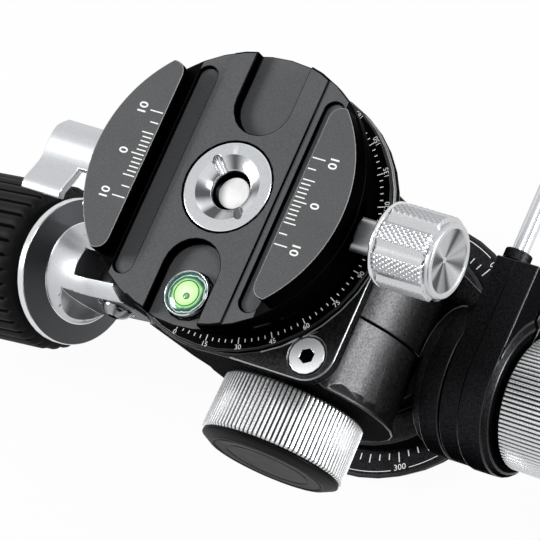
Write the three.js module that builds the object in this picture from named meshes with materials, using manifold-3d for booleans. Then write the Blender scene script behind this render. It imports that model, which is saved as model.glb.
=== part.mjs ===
// Three-way pan head with a panning quick-release clamp and a folding handle.
// Millimetres, +Z up. The origin is the centre of the base's underside, +X runs
// along the tilt axis towards the tilt knob, and -Y is the front with the roll knob.

import * as THREE from 'three';
import { mergeVertices } from 'three/addons/utils/BufferGeometryUtils.js';
import Module from 'manifold-3d';

const wasm = await Module();
wasm.setup();

// Fits shared by every piece
const GAP = 0.3;
const OVERRUN = 1;
const SMALL_EDGE = 0.5;

// Counts of facets
const FINE_STEPS = 40;
const ROUND_STEPS = 28;
const SMALL_STEPS = 16;
const PIN_STEPS = 10;
const ARC_STEPS = 6;
const WIRE_STEPS = 3;

// Base with its tripod thread
const BASE_RADIUS = 31.3;
const BASE_HEIGHT = 6;
const BASE_FLARE = 2.2;
const BASE_FOOT_RADIUS = BASE_RADIUS - BASE_FLARE;
const HUB_RADIUS = 9;
const BUSH_RADIUS = 6;
const BUSH_FLANGE_RADIUS = 7.6;
const BUSH_FLANGE_HEIGHT = 1.5;
const BUSH_HEIGHT = 10;
const TRIPOD_THREAD_RADIUS = 4.4;
const RETAINER_RADIUS = 13;
const RETAINER_HEIGHT = 1.6;

// Pan platform that turns on the base
const PLATFORM_RADIUS = 25;
const PLATFORM_HEIGHT = 4.2;
const PLATFORM_DRUM_WALL = 5;
const PLATFORM_DRUM_RADIUS = RETAINER_RADIUS + PLATFORM_DRUM_WALL;
const PLATFORM_DRUM_RISE = 8.9;
const COVER_HEIGHT = 1.5;
const COVER_CLEARANCE = 0.5;
const HUB_RISE = PLATFORM_DRUM_RISE - COVER_HEIGHT;
const PLATFORM_SHOULDER_RISE = HUB_RISE - COVER_CLEARANCE - RETAINER_HEIGHT - GAP;
const FRICTION_RING_CLEARANCE = 3;
const FRICTION_RING_INNER = HUB_RADIUS + FRICTION_RING_CLEARANCE;
const FRICTION_RING_WIDTH = 8;
const FRICTION_RING_OUTER = FRICTION_RING_INNER + FRICTION_RING_WIDTH;
const FRICTION_RING_HEIGHT = 0.8;
const PAN_LOCK_ANGLE = THREE.MathUtils.degToRad(150);
const PAN_LOCK_BOSS_WIDTH = 10;
const PAN_LOCK_KNOB_RADIUS = 5;
const PAN_LOCK_KNOB_LENGTH = 11;
const PAN_LOCK_RISE = PAN_LOCK_KNOB_RADIUS + SMALL_EDGE;
const PAN_LOCK_WALL = 3.5;
const PAN_LOCK_FACE = PLATFORM_RADIUS + SMALL_EDGE + GAP;
const PAN_LOCK_TIP = RETAINER_RADIUS + GAP + PAN_LOCK_WALL;
const LOCK_STUD_RADIUS = 2;
const LOCK_STUD_DEPTH = 9;
const LOCK_KNOB_LOBES = 12;

// Tilt axis, parallel to X
const TILT_Y = -10;
const MID_FOOT_RADIUS = 22.2;
const TILT_Z = BASE_HEIGHT + PLATFORM_DRUM_RISE + MID_FOOT_RADIUS + 3 * GAP;
const ROLL_X = 11.8;
const DRUM_RADIUS = 20.9;
const CHEEK_RADIUS = 17.2;
const CHEEK_STANDOFF = 3.3;
const CHEEK_X = ROLL_X + DRUM_RADIUS + CHEEK_STANDOFF;
const CHEEK_THICKNESS = 4.8;
const ARM_THICKNESS = 4.1;
const ARM_INNER_GAP = 1;
const ARM_INNER_X = PLATFORM_DRUM_RADIUS + ARM_INNER_GAP;
const ARM_FRONT_Y = -15;
const ARM_REAR_Y = 6;
const ARM_ROOT_HALF_WIDTH = 16;
const ARM_SCREW_RADIUS = 1.6;
const ARM_SCREW_HEAD_RADIUS = 2.8;
const ARM_SCREW_HEAD_HEIGHT = 1.8;
const ARM_SCREW_OFFSET = 4.4;
const ARM_SCREW_X = PLATFORM_DRUM_RADIUS + ARM_SCREW_OFFSET;
const ARM_SCREW_HALF_SPAN = 6;
const TILT_BUSH_WALL = 2;
const SPIGOT_RADIUS = 10;
const TILT_BOSS_RADIUS = 15.5;
const COLLAR_RADIUS = 17.6;
const COLLAR_WIDTH = 11.9;
const COLLAR_SEAM = 4.8;
const COLLAR_STEP = 0.4;
const COLLAR_CHAMFER = 1.2;
const COLLAR_LUG_REAR = 24.6;
const COLLAR_LUG_LOW = 3.5;
const COLLAR_SPLIT_LOW = 8.3;
const COLLAR_SPLIT_HIGH = 9.6;
const COLLAR_SPLIT_START = 4;
const COLLAR_SCREW_RADIUS = 1.5;
const COLLAR_SCREW_TOP = 15;
const COLLAR_SCREW_Y = 20.9;
const COLLAR_SCREW_INSET = 3;
const COLLAR_SCREW_HEAD_RADIUS = 2.7;
const COLLAR_SCREW_HEAD_HEIGHT = 2.2;
const TILT_STUD_RADIUS = 4;

// Rod lever in the collar's lug
const ROD_RADIUS = 2;
const ROD_LENGTH = 46;
const ROD_INSET = 2.9;
const ROD_SOCKET_DEPTH = 7.5;
const ROD_ROOT_RADIUS = 3.1;
const ROD_ROOT_LENGTH = 2.4;
const ROD_RISE = 13.6;

// Tilt knob and roll knob, fluted alike
const KNOB_FLUTES = 95;
const FLUTE_DEPTH = 0.42;
const ROLL_KNOB_INNER_RADIUS = 16;
const ROLL_KNOB_OUTER_RADIUS = 16.3;
const ROLL_KNOB_LENGTH = 12.9;
const TILT_KNOB_INNER_RADIUS = 15;
const TILT_KNOB_OUTER_RADIUS = 15.4;
const TILT_KNOB_LENGTH = 15.5;
const KNOB_STANDOFF = 1.2;
const CAP_HEIGHT = 1.8;
const CAP_CHAMFER = 2.4;
const CAP_SPIGOT_SHARE = 0.6;
const CAP_SPIGOT_HEIGHT = 1.6;
const KNOB_STUD_DEPTH = 9;

// Roll axis, parallel to Y
const ROLL_RISE = 19.5;
const ROLL_Z = TILT_Z + ROLL_RISE;
const DRUM_FLANGE_REACH = 1.1;
const DRUM_FLANGE_RADIUS = DRUM_RADIUS + DRUM_FLANGE_REACH;
const DRUM_FLANGE_THICKNESS = 1.6;
const REAR_LEG_Y = 16;
const REAR_LEG_RADIUS = 12.5;
const REAR_LEG_LEFT_X = -8;
const REAR_LEG_RIGHT_X = 23.5;
const MID_FRONT_Y = -11.5;
const MID_REAR_Y = 9.8;
const BOSS_HEIGHT = 3;
const LEFT_BOSS_RADIUS = 8.5;
const ROLL_AXLE_RADIUS = 7;
const AXLE_HEAD_RADIUS = 9.4;
const AXLE_HEAD_HEIGHT = 2.2;
const AXLE_HEX = 3;

// Plate that carries the rotator and, as wide as it, the clamp
const CLAMP_RADIUS = 31.2;
const PLATE_THICKNESS = 3;
const PLATE_CLEARANCE = 2.6;
const PLATE_TOP_Z = ROLL_Z + DRUM_RADIUS + PLATE_CLEARANCE + PLATE_THICKNESS;
const PLATE_RADIUS = CLAMP_RADIUS + GAP;
const DRUM_FRONT_INSET = 2.2;
const DRUM_FRONT_Y = -CLAMP_RADIUS + DRUM_FRONT_INSET;
const LUG_HALF_WIDTH = CLAMP_RADIUS;
const LUG_CORNER_RADIUS = 6.5;
const LUG_RISE = -0.1;
const FLANK_TOP_REACH = 5.7;
const FLANK_TOP_X = ROLL_X - DRUM_RADIUS - FLANK_TOP_REACH;
const FLANK_MID_REACH = 2.6;
const FLANK_MID_X = ROLL_X - DRUM_RADIUS - FLANK_MID_REACH;
const FLANK_MID_RISE = 7.5;
const FLANK_MID_Z = ROLL_Z + FLANK_MID_RISE;
const RECESS_TOP_INSET = 1.7;
const RECESS_TOP_X = LUG_HALF_WIDTH - RECESS_TOP_INSET;
const RECESS_DEPTH = 5.5;
const RECESS_DEEP_X = RECESS_TOP_X - RECESS_DEPTH;
const RECESS_DROP = 7;
const RECESS_DEEP_Z = PLATE_TOP_Z - RECESS_DROP;
const RECESS_LOW_ANGLE = THREE.MathUtils.degToRad(40);
const LUG_SCREW_X = LUG_HALF_WIDTH - LUG_CORNER_RADIUS;
const LUG_SCREW_INSET = 5.5;
const LUG_SCREW_Y = -LUG_HALF_WIDTH + LUG_SCREW_INSET;
const LUG_SCREW_HEAD_RADIUS = 4.1;
const LUG_SCREW_HEAD_HEIGHT = 1.9;
const LUG_SCREW_RADIUS = 1.9;
const LUG_SCREW_HEX = 1.5;

// Rotator between plate and clamp
const SCALE_RING_WIDTH = 9.2;
const SCALE_RING_OUTER = CLAMP_RADIUS;
const SCALE_RING_INNER = SCALE_RING_OUTER - SCALE_RING_WIDTH;
const SCALE_RING_HEIGHT = 1.1;
const ROTATOR_HUB_RADIUS = 12;
const ROTATOR_FLANGE_RADIUS = 15;
const ROTATOR_FLANGE_HEIGHT = 1.3;
const KEEPER_RADIUS = 20;
const KEEPER_HEIGHT = 1.2;
const ROTATOR_LOCK_Y = 8;
const ROTATOR_LOCK_DROP = 4.6;
const ROTATOR_BOSS_LENGTH = 10.5;
const ROTATOR_BOSS_X = -PLATE_RADIUS - SMALL_EDGE + ROTATOR_BOSS_LENGTH;
const ROTATOR_BOSS_WIDTH = 12;
const ROTATOR_BOSS_HEIGHT = 8.4;
const ROTATOR_KNOB_RADIUS = 6;
const ROTATOR_KNOB_LENGTH = 11;

// Quick-release clamp
const CLAMP_FLANGE_REACH = 3.2;
const CLAMP_DRUM_RADIUS = CLAMP_RADIUS - CLAMP_FLANGE_REACH;
const CLAMP_BOTTOM_Z = PLATE_TOP_Z + SCALE_RING_HEIGHT + 2 * GAP;
const CLAMP_DRUM_HEIGHT = 10.3;
const CLAMP_FLANGE_Z = CLAMP_BOTTOM_Z + CLAMP_DRUM_HEIGHT;
const CLAMP_FLANGE_HEIGHT = 4;
const PAD_Z = CLAMP_FLANGE_Z + CLAMP_FLANGE_HEIGHT;
const JAW_HEIGHT = 4.9;
const JAW_TOP_Z = PAD_Z + JAW_HEIGHT;
const JAW_WIDTH = 12.8;
const JAW_INNER_X = CLAMP_RADIUS - JAW_WIDTH;
const JAW_CORNER = 3.4;
const JAW_UNDERCUT = 2.3;
const JAW_LIP_HEIGHT = 1.3;
const JAW_FOOT_HEIGHT = 2;
const PAD_INSET = 6.4;
const PAD_HALF_WIDTH = JAW_INNER_X - PAD_INSET;
const PAD_STEP = 0.4;
const GROOVE_HALF_WIDTH = 2.4;
const GROOVE_INNER_X = JAW_INNER_X - 2 * GROOVE_HALF_WIDTH;
const GROOVE_END_INSET = 6.8;
const GROOVE_HALF_LENGTH = CLAMP_RADIUS - GROOVE_END_INSET;
const GROOVE_DEPTH = 1.4;
const CENTRE_NUT_RADIUS = 10.1;
const SLOT_HALF_WIDTH = 6.75;
const SLOT_INNER_WALL = 2.3;
const SLOT_END_Y = CENTRE_NUT_RADIUS + SLOT_INNER_WALL;
const SLOT_DEPTH = 2.8;
const NOTCH_HALF_WIDTH = 9;
const NOTCH_INSET = 0.8;
const NOTCH_INNER_X = JAW_INNER_X + NOTCH_INSET;
const NOTCH_DEPTH = 11.2;
const CENTRE_NUT_HEIGHT = 2.6;
const CENTRE_HOLE_RADIUS = 4.5;
const CENTRE_DISH_RADIUS = 8.9;
const CENTRE_DISH_DEPTH = 1.7;
const SPANNER_NOTCH_HALF_WIDTH = 0.9;
const SPANNER_NOTCH_REACH = 2.2;
const SPANNER_NOTCH_ANGLE = THREE.MathUtils.degToRad(-62);
const SIDE_RECESS_WIDTH = 4;
const SIDE_RECESS_HEIGHT = 5;
const SIDE_RECESS_DEPTH = 0.8;
const SIDE_RECESS_ANGLES = [-45, -58, 45, 58, 225].map(THREE.MathUtils.degToRad);

// Bull's-eye level
const LEVEL_X = 1;
const LEVEL_INSET = 7;
const LEVEL_Y = -CLAMP_RADIUS + LEVEL_INSET;
const LEVEL_RADIUS = 5.1;
const LEVEL_BEZEL_WALL = 0.8;
const LEVEL_HEIGHT = 2.1;
const LEVEL_WELL_RADIUS = 3;
const LEVEL_WELL_DEPTH = 4;
const LEVEL_DOME = 0.5;

// Clamp screw, its knob, guide pins and springs
const CLAMP_KNOB_RADIUS = 9.2;
const SCREW_Z = PLATE_TOP_Z + LUG_RISE + GAP + CLAMP_KNOB_RADIUS;
const SCREW_RADIUS = 2.6;
const SHAFT_RADIUS = 3.8;
const SHAFT_DEPTH = 4;
const SHAFT_INNER_X = CLAMP_DRUM_RADIUS - SHAFT_DEPTH;
const SCREW_TIP_INSET = 0.4;
const SCREW_TIP_X = -CLAMP_DRUM_RADIUS + SCREW_TIP_INSET;
const CLAMP_KNOB_STANDOFF = 6.3;
const CLAMP_KNOB_X = CLAMP_RADIUS + CLAMP_KNOB_STANDOFF;
const CLAMP_KNOB_LENGTH = 14.5;
const CLAMP_KNOB_FLUTES = 8;
const CLAMP_FLUTE_RADIUS = 2.9;
const CLAMP_FLUTE_DEPTH = 0.75;
const CLAMP_KNOB_FLANGE = 1.1;
const CLAMP_KNOB_END_INSET = 1;
const CLAMP_KNOB_END_RADIUS = CLAMP_KNOB_RADIUS - CLAMP_KNOB_END_INSET;
const CLAMP_KNOB_END_LENGTH = 1.2;
const CLAMP_KNOB_RIM_WIDTH = 1.2;
const CLAMP_KNOB_DISH_RADIUS = CLAMP_KNOB_END_RADIUS - CLAMP_KNOB_RIM_WIDTH;
const CLAMP_KNOB_DISH_DEPTH = 1.3;
const GUIDE_PIN_RADIUS = 1.5;
const GUIDE_PIN_Y = 5.8;
const GUIDE_PIN_INSET = 1.2;
const GUIDE_PIN_OUTER_X = -CLAMP_DRUM_RADIUS + GUIDE_PIN_INSET;
const GUIDE_PIN_LENGTH = 20.8;
const GUIDE_PIN_INNER_X = GUIDE_PIN_OUTER_X + GUIDE_PIN_LENGTH;
const SPRING_POCKET_DEPTH = 8.3;
const SPRING_SEAT_X = -NOTCH_INNER_X + SPRING_POCKET_DEPTH;
const SPRING_WIRE_RADIUS = 0.3;
const SPRING_COIL_RADIUS = 2.2;
const SPRING_POCKET_RADIUS = 2.85;
const SPRING_TURNS = 4;
const SPRING_STEPS_PER_TURN = 7;

// Folding handle on the left
const HANDLE_Y = -12;
const FOLD_REACH = 40.7;
const FOLD_X = ROLL_X - DRUM_RADIUS - FOLD_REACH;
const FOLD_RISE = 2.2;
const FOLD_Z = TILT_Z + FOLD_RISE;
const HANDLE_DROOP = THREE.MathUtils.degToRad(17);
const POST_RADIUS = 5.5;
const POST_FLANGE_RADIUS = 8.5;
const POST_FLANGE_HEIGHT = 2.2;
const TONGUE_HALF_THICKNESS = 3;
const TONGUE_END_RADIUS = 6.4;
const FORK_RADIUS = 8.4;
const FORK_END_RADIUS = 8.6;
const FORK_SLOT_DEPTH = 8.5;
const CONE_START = 5.5;
const FLANGE_START = 17;
const FLANGE_RADIUS = 16.8;
const FLANGE_THICKNESS = 2.3;
const FLANGE_END = FLANGE_START + FLANGE_THICKNESS;
const EAR_FLAT_RADIUS = 12.2;
const EAR_HALF_THICKNESS = 6.6;
const COUNTERBORE_RADIUS = 4.5;
const COUNTERBORE_DEPTH = 1;
const FOLD_SCREW_RADIUS = 2;
const FOLD_HEAD_RADIUS = 3.7;
const FOLD_HEAD_HEIGHT = 3;
const FOLD_HEX = 1.25;
const FOLD_NUT_RADIUS = 3.6;
const FOLD_NUT_HEIGHT = 1.8;

// Lock lever at the rear of the fold joint, from the fold axis
const LEVER_HUB_RADIUS = 6;
const LEVER_HUB_LENGTH = 4;
const LEVER_PROFILE = [[8.7, 21], [11, 21.4], [14.5, 19.7], [18, 18.5], [22, 18.9], [25.5, 18.2], [28.5, 14.6]];
const LEVER_THICKNESS = 2.3;
const LEVER_OUTER_X = -23.2;
const LEVER_NOTCH_X = -12.7;
const LEVER_ARM_X = -6.5;
const LEVER_NOTCH_Y = 17;

// Grip and its spindle
const SPINDLE_RADIUS = 6;
const SPINDLE_DEPTH = 6;
const GRIP_STANDOFF = 2.2;
const GRIP_START = FLANGE_END + GRIP_STANDOFF;
const GRIP_LENGTH = 42.5;
const GRIP_END = GRIP_START + GRIP_LENGTH;
const SPINDLE_INSET = 8;
const SPINDLE_END = GRIP_END - SPINDLE_INSET;
const GRIP_RADIUS = 18.8;
const GRIP_RIBS = 27;
const GRIP_RIB_DEPTH = 0.9;
const GRIP_CAP_INSET = 3;
const GRIP_CAP_RADIUS = GRIP_RADIUS - GRIP_CAP_INSET;
const GRIP_CAP_DOME = 3;
const GRIP_BOTTOM_WALL = 3;

/** Welds the corners of a geometry and drops the faces that have collapsed. */
function weld(geometry) {
  const bare = new THREE.BufferGeometry();
  bare.setAttribute('position', geometry.getAttribute('position').clone());
  if (geometry.index) {
    bare.setIndex(geometry.index.clone());
  }
  const merged = mergeVertices(bare);
  const corners = merged.index.array;
  const kept = [];
  for (let i = 0; i < corners.length; i += 3) {
    const [a, b, c] = corners.slice(i, i + 3);
    if (a !== b && b !== c && c !== a) {
      kept.push(a, b, c);
    }
  }
  merged.setIndex(kept);
  return merged;
}

/** Six times the volume inside a welded geometry, negative when it is inside out. */
function windingOf(geometry) {
  const place = geometry.getAttribute('position');
  const corners = geometry.index.array;
  const [a, b, c] = [new THREE.Vector3(), new THREE.Vector3(), new THREE.Vector3()];
  let sum = 0;
  for (let i = 0; i < corners.length; i += 3) {
    a.fromBufferAttribute(place, corners[i]);
    b.fromBufferAttribute(place, corners[i + 1]);
    c.fromBufferAttribute(place, corners[i + 2]);
    sum += a.dot(b.cross(c));
  }
  return sum;
}

/** Welds a geometry and turns its faces outwards. */
function closed(geometry) {
  const shell = weld(geometry);
  if (windingOf(shell) < 0) {
    const corners = Array.from(shell.index.array);
    shell.setIndex(corners.reverse());
  }
  return shell;
}

/** Makes a solid that can be joined and cut. */
function toSolid(geometry) {
  const shell = closed(geometry);
  const mesh = new wasm.Mesh({
    numProp: 3,
    vertProperties: new Float32Array(shell.getAttribute('position').array),
    triVerts: new Uint32Array(shell.index.array),
  });
  return new wasm.Manifold(mesh);
}

/** Turns a joined or cut solid back into a geometry. */
function toGeometry(solid) {
  const mesh = solid.getMesh();
  const geometry = new THREE.BufferGeometry();
  geometry.setAttribute('position', new THREE.BufferAttribute(new Float32Array(mesh.vertProperties), 3));
  geometry.setIndex(Array.from(mesh.triVerts));
  return geometry;
}

/** One geometry with the others cut away from it. */
function cut(geometry, ...tools) {
  return toGeometry(tools.reduce((left, tool) => left.subtract(toSolid(tool)), toSolid(geometry)));
}

/** Several geometries joined into one. */
function join(geometry, ...others) {
  return toGeometry(others.reduce((left, other) => left.add(toSolid(other)), toSolid(geometry)));
}

/** The space that two geometries share. */
function common(geometry, other) {
  return toGeometry(toSolid(geometry).intersect(toSolid(other)));
}

/** A profile of [radius, height] points turned round the Z axis. */
function turned(profile, steps = ROUND_STEPS) {
  const points = profile.map(([radius, height]) => new THREE.Vector2(radius, height));
  const first = points[0];
  const last = points[points.length - 1];
  if (first.x > 0 || last.x > 0) {
    points.push(first.clone());
  }
  return closed(new THREE.LatheGeometry(points, steps).rotateX(Math.PI / 2));
}

/** A solid disc round the Z axis from one height to another. */
function disc(radius, low, high, steps = ROUND_STEPS) {
  return turned([[0, low], [radius, low], [radius, high], [0, high]], steps);
}

/** A disc whose two rims are broken by a small edge. */
function edgedDisc(radius, low, high, edge = SMALL_EDGE, steps = ROUND_STEPS) {
  return turned([
    [0, low], [radius - edge, low], [radius, low + edge],
    [radius, high - edge], [radius - edge, high], [0, high],
  ], steps);
}

/** A ring round the Z axis. */
function ring(inner, outer, low, high, steps = ROUND_STEPS) {
  return turned([[inner, low], [outer, low], [outer, high], [inner, high]], steps);
}

/** An outline in X and Y drawn out along Z from one height to another. */
function prism(outline, low, high) {
  const settings = { depth: high - low, bevelEnabled: false, curveSegments: ARC_STEPS };
  return closed(new THREE.ExtrudeGeometry(outline, settings).translate(0, 0, low));
}

/** A box between two corners. */
function block([x0, y0, z0], [x1, y1, z1]) {
  const box = new THREE.BoxGeometry(x1 - x0, y1 - y0, z1 - z0);
  return closed(box.translate((x0 + x1) / 2, (y0 + y1) / 2, (z0 + z1) / 2));
}

/** Turns a solid built round Z so that its axis runs along +X. */
function alongX(geometry) {
  return geometry.clone().rotateY(Math.PI / 2);
}

/** Turns a solid built round Z so that its axis runs towards the front, -Y. */
function towardsFront(geometry) {
  return geometry.clone().rotateX(Math.PI / 2);
}

/** A moved copy. */
function moved(geometry, x, y, z) {
  return geometry.clone().translate(x, y, z);
}

/** An outline through [x, y] points. */
function outlineOf(points) {
  return new THREE.Shape(points.map(([x, y]) => new THREE.Vector2(x, y)));
}

/** The point where a line from an outside point touches a circle, on the left or right of that line. */
function tangentPoint([cx, cy], radius, [px, py], side) {
  const reach = Math.hypot(px - cx, py - cy);
  const bearing = Math.atan2(py - cy, px - cx) + side * Math.acos(radius / reach);
  return [cx + radius * Math.cos(bearing), cy + radius * Math.sin(bearing), bearing];
}

/** A hexagonal socket round the Z axis. */
function hexSocket(flatRadius, low, high) {
  return disc(flatRadius / Math.cos(Math.PI / 6), low, high, 6);
}

/** Base disc with the hub that the pan platform turns on. */
function makeBaseDisc() {
  const hubTop = BASE_HEIGHT + HUB_RISE;
  const bore = BUSH_RADIUS + GAP;
  const recess = BUSH_FLANGE_RADIUS + GAP;
  const edge = SMALL_EDGE;
  return turned([
    [recess, 0], [BASE_FOOT_RADIUS - edge, 0], [BASE_FOOT_RADIUS, edge], [BASE_RADIUS, BASE_HEIGHT - edge],
    [BASE_RADIUS - edge, BASE_HEIGHT], [HUB_RADIUS, BASE_HEIGHT], [HUB_RADIUS, hubTop],
    [bore, hubTop], [bore, BUSH_FLANGE_HEIGHT + 2 * GAP], [recess, BUSH_FLANGE_HEIGHT + 2 * GAP],
  ], FINE_STEPS);
}

/** Steel bush with the tripod thread. */
function makeThreadBush() {
  const low = GAP;
  const flangeTop = low + BUSH_FLANGE_HEIGHT;
  const edge = SMALL_EDGE;
  return turned([
    [TRIPOD_THREAD_RADIUS + edge, low], [BUSH_FLANGE_RADIUS, low], [BUSH_FLANGE_RADIUS, flangeTop],
    [BUSH_RADIUS, flangeTop], [BUSH_RADIUS, low + BUSH_HEIGHT], [TRIPOD_THREAD_RADIUS, low + BUSH_HEIGHT],
    [TRIPOD_THREAD_RADIUS, low + edge],
  ], SMALL_STEPS);
}

/** Slippery ring that carries the platform on the base. */
function makeFrictionRing() {
  const low = BASE_HEIGHT + GAP;
  return ring(FRICTION_RING_INNER, FRICTION_RING_OUTER, low, low + FRICTION_RING_HEIGHT);
}

/** Ring nut on the hub that keeps the platform down. */
function makePanRetainer() {
  const low = BASE_HEIGHT + PLATFORM_SHOULDER_RISE + 2 * GAP;
  const nut = ring(HUB_RADIUS + GAP, RETAINER_RADIUS, low, low + RETAINER_HEIGHT, SMALL_STEPS);
  const slot = SPANNER_NOTCH_HALF_WIDTH;
  const slots = [1, -1].map((side) => {
    const inner = side * (RETAINER_RADIUS - SPANNER_NOTCH_REACH);
    const outer = side * (RETAINER_RADIUS + OVERRUN);
    return block(
      [Math.min(inner, outer), -slot, low - OVERRUN],
      [Math.max(inner, outer), slot, low + RETAINER_HEIGHT + OVERRUN],
    );
  });
  return cut(nut, ...slots);
}

/** Platform that turns on the base, with its lock boss. */
function makePanPlatform() {
  const low = BASE_HEIGHT + GAP;
  const discTop = low + PLATFORM_HEIGHT;
  const shoulder = BASE_HEIGHT + PLATFORM_SHOULDER_RISE + GAP;
  const top = low + PLATFORM_DRUM_RISE;
  const well = RETAINER_RADIUS + GAP;
  const bore = HUB_RADIUS + GAP;
  const edge = SMALL_EDGE;
  const body = turned([
    [bore, low], [PLATFORM_RADIUS - edge, low], [PLATFORM_RADIUS, low + edge],
    [PLATFORM_RADIUS, discTop - edge], [PLATFORM_RADIUS - edge, discTop],
    [PLATFORM_DRUM_RADIUS, discTop], [PLATFORM_DRUM_RADIUS, top],
    [well, top], [well, shoulder], [bore, shoulder],
  ], FINE_STEPS);
  const boss = block(
    [well + GAP, -PAN_LOCK_BOSS_WIDTH / 2, low],
    [PLATFORM_RADIUS + SMALL_EDGE, PAN_LOCK_BOSS_WIDTH / 2, top],
  ).rotateZ(PAN_LOCK_ANGLE);
  const ringSeat = ring(
    FRICTION_RING_INNER - GAP, FRICTION_RING_OUTER + GAP, low - OVERRUN, low + FRICTION_RING_HEIGHT + GAP,
  );
  const studHole = alongX(disc(LOCK_STUD_RADIUS + GAP, PAN_LOCK_TIP - LOCK_STUD_RADIUS - OVERRUN - GAP,
    PLATFORM_RADIUS + 2 * OVERRUN, PIN_STEPS)).translate(0, 0, BASE_HEIGHT + PAN_LOCK_RISE);
  const armSeat = armOutlineBlock(GAP);
  return cut(join(body, boss), ringSeat, studHole.rotateZ(PAN_LOCK_ANGLE), armSeat, ...armScrewHoles(discTop));
}

/** Cover over the hub and its ring nut. */
function makePanCover() {
  const top = BASE_HEIGHT + GAP + PLATFORM_DRUM_RISE;
  return edgedDisc(RETAINER_RADIUS, top - COVER_HEIGHT, top, GAP);
}

/** Small knurled lock knob, its axis along Z and its inner face at zero. */
function makeLockKnob(radius, length) {
  const step = (2 * Math.PI) / (2 * LOCK_KNOB_LOBES);
  const points = [];
  for (let i = 0; i < 2 * LOCK_KNOB_LOBES; i += 1) {
    const reach = i % 2 ? radius : radius - SMALL_EDGE;
    points.push([reach * Math.cos(i * step), reach * Math.sin(i * step)]);
  }
  const body = prism(outlineOf(points), 0, length);
  const trim = edgedDisc(radius, 0, length, SMALL_EDGE, SMALL_STEPS);
  const socket = disc(LOCK_STUD_RADIUS + GAP, -OVERRUN, length / 2 + GAP, PIN_STEPS);
  return cut(common(body, trim), socket);
}

/** Stud of a lock knob, from inside the housing to the middle of the knob. */
function makeLockStud(length, depth) {
  return edgedDisc(LOCK_STUD_RADIUS, -depth, length / 2, GAP, PIN_STEPS);
}

/** Outline of the arm's foot, seen from above, grown by a margin. */
function armOutlineBlock(margin) {
  const outer = CHEEK_X + CHEEK_THICKNESS;
  const outline = outlineOf([
    [ARM_INNER_X - margin, -ARM_ROOT_HALF_WIDTH - margin],
    [PLATFORM_RADIUS + margin, -ARM_ROOT_HALF_WIDTH - margin],
    [CHEEK_X, ARM_FRONT_Y - margin], [outer, ARM_FRONT_Y - margin], [outer, ARM_REAR_Y + margin],
    [CHEEK_X, ARM_REAR_Y + margin], [PLATFORM_RADIUS + margin, ARM_ROOT_HALF_WIDTH + margin],
    [ARM_INNER_X - margin, ARM_ROOT_HALF_WIDTH + margin],
  ]);
  const low = BASE_HEIGHT + GAP + PLATFORM_HEIGHT;
  return prism(outline, margin > 0 ? low : low + GAP, low + GAP + ARM_THICKNESS + margin);
}

/** Screw holes through the arm's foot and into the platform. */
function armScrewHoles(below) {
  return [-1, 1].map((side) => moved(
    disc(ARM_SCREW_RADIUS + GAP, below - PLATFORM_HEIGHT / 2 - GAP, below + ARM_THICKNESS + OVERRUN, PIN_STEPS),
    ARM_SCREW_X, side * ARM_SCREW_HALF_SPAN, 0,
  ));
}

/** Bracket from the platform up to the round cheek on the tilt axis. */
function makePanArm() {
  const footLow = BASE_HEIGHT + 2 * GAP + PLATFORM_HEIGHT;
  const footTop = footLow + ARM_THICKNESS;
  const foot = cut(
    armOutlineBlock(0),
    disc(PLATFORM_DRUM_RADIUS + GAP, footLow - OVERRUN, footTop + OVERRUN, FINE_STEPS),
  );
  const centre = [TILT_Y, TILT_Z];
  const front = tangentPoint(centre, CHEEK_RADIUS, [ARM_FRONT_Y, footLow], -1);
  const rear = tangentPoint(centre, CHEEK_RADIUS, [ARM_REAR_Y, footLow], 1);
  const side = new THREE.Shape();
  side.moveTo(ARM_FRONT_Y, footLow);
  side.lineTo(ARM_REAR_Y, footLow);
  side.lineTo(rear[0], rear[1]);
  side.absarc(TILT_Y, TILT_Z, CHEEK_RADIUS, rear[2], front[2] + 2 * Math.PI, false);
  side.closePath();
  const settings = { depth: CHEEK_THICKNESS, bevelEnabled: false, curveSegments: ROUND_STEPS };
  const turn = new THREE.Matrix4().makeBasis(
    new THREE.Vector3(0, 1, 0), new THREE.Vector3(0, 0, 1), new THREE.Vector3(1, 0, 0),
  );
  const cheek = new THREE.ExtrudeGeometry(side, settings).applyMatrix4(turn).translate(CHEEK_X, 0, 0);
  const bore = alongX(disc(SPIGOT_RADIUS + TILT_BUSH_WALL + 2 * GAP, CHEEK_X - OVERRUN,
    CHEEK_X + CHEEK_THICKNESS + OVERRUN)).translate(0, TILT_Y, TILT_Z);
  const heads = [-1, 1].map((way) => moved(
    disc(ARM_SCREW_HEAD_RADIUS + GAP, footTop - ARM_SCREW_HEAD_HEIGHT - GAP, footTop + OVERRUN, PIN_STEPS),
    ARM_SCREW_X, way * ARM_SCREW_HALF_SPAN, 0,
  ));
  return cut(join(foot, cheek), bore, ...armScrewHoles(footLow - GAP), ...heads);
}

/** One of the two screws that hold the arm on the platform. */
function makeArmScrew(side) {
  const footTop = BASE_HEIGHT + 2 * GAP + PLATFORM_HEIGHT + ARM_THICKNESS;
  const tip = BASE_HEIGHT + GAP + PLATFORM_HEIGHT / 2;
  const headLow = footTop - ARM_SCREW_HEAD_HEIGHT;
  const screw = cut(
    turned([
      [0, tip], [ARM_SCREW_RADIUS, tip], [ARM_SCREW_RADIUS, headLow],
      [ARM_SCREW_HEAD_RADIUS, headLow], [ARM_SCREW_HEAD_RADIUS, footTop], [0, footTop],
    ], PIN_STEPS),
    hexSocket(ARM_SCREW_RADIUS - GAP, headLow + GAP, footTop + OVERRUN),
  );
  return moved(screw, ARM_SCREW_X, side * ARM_SCREW_HALF_SPAN, 0);
}

/** Bearing sleeve in the cheek, in the tilt axis frame. */
function makeTiltBush() {
  return ring(SPIGOT_RADIUS + GAP, SPIGOT_RADIUS + TILT_BUSH_WALL + GAP, CHEEK_X, CHEEK_X + CHEEK_THICKNESS);
}

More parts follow.
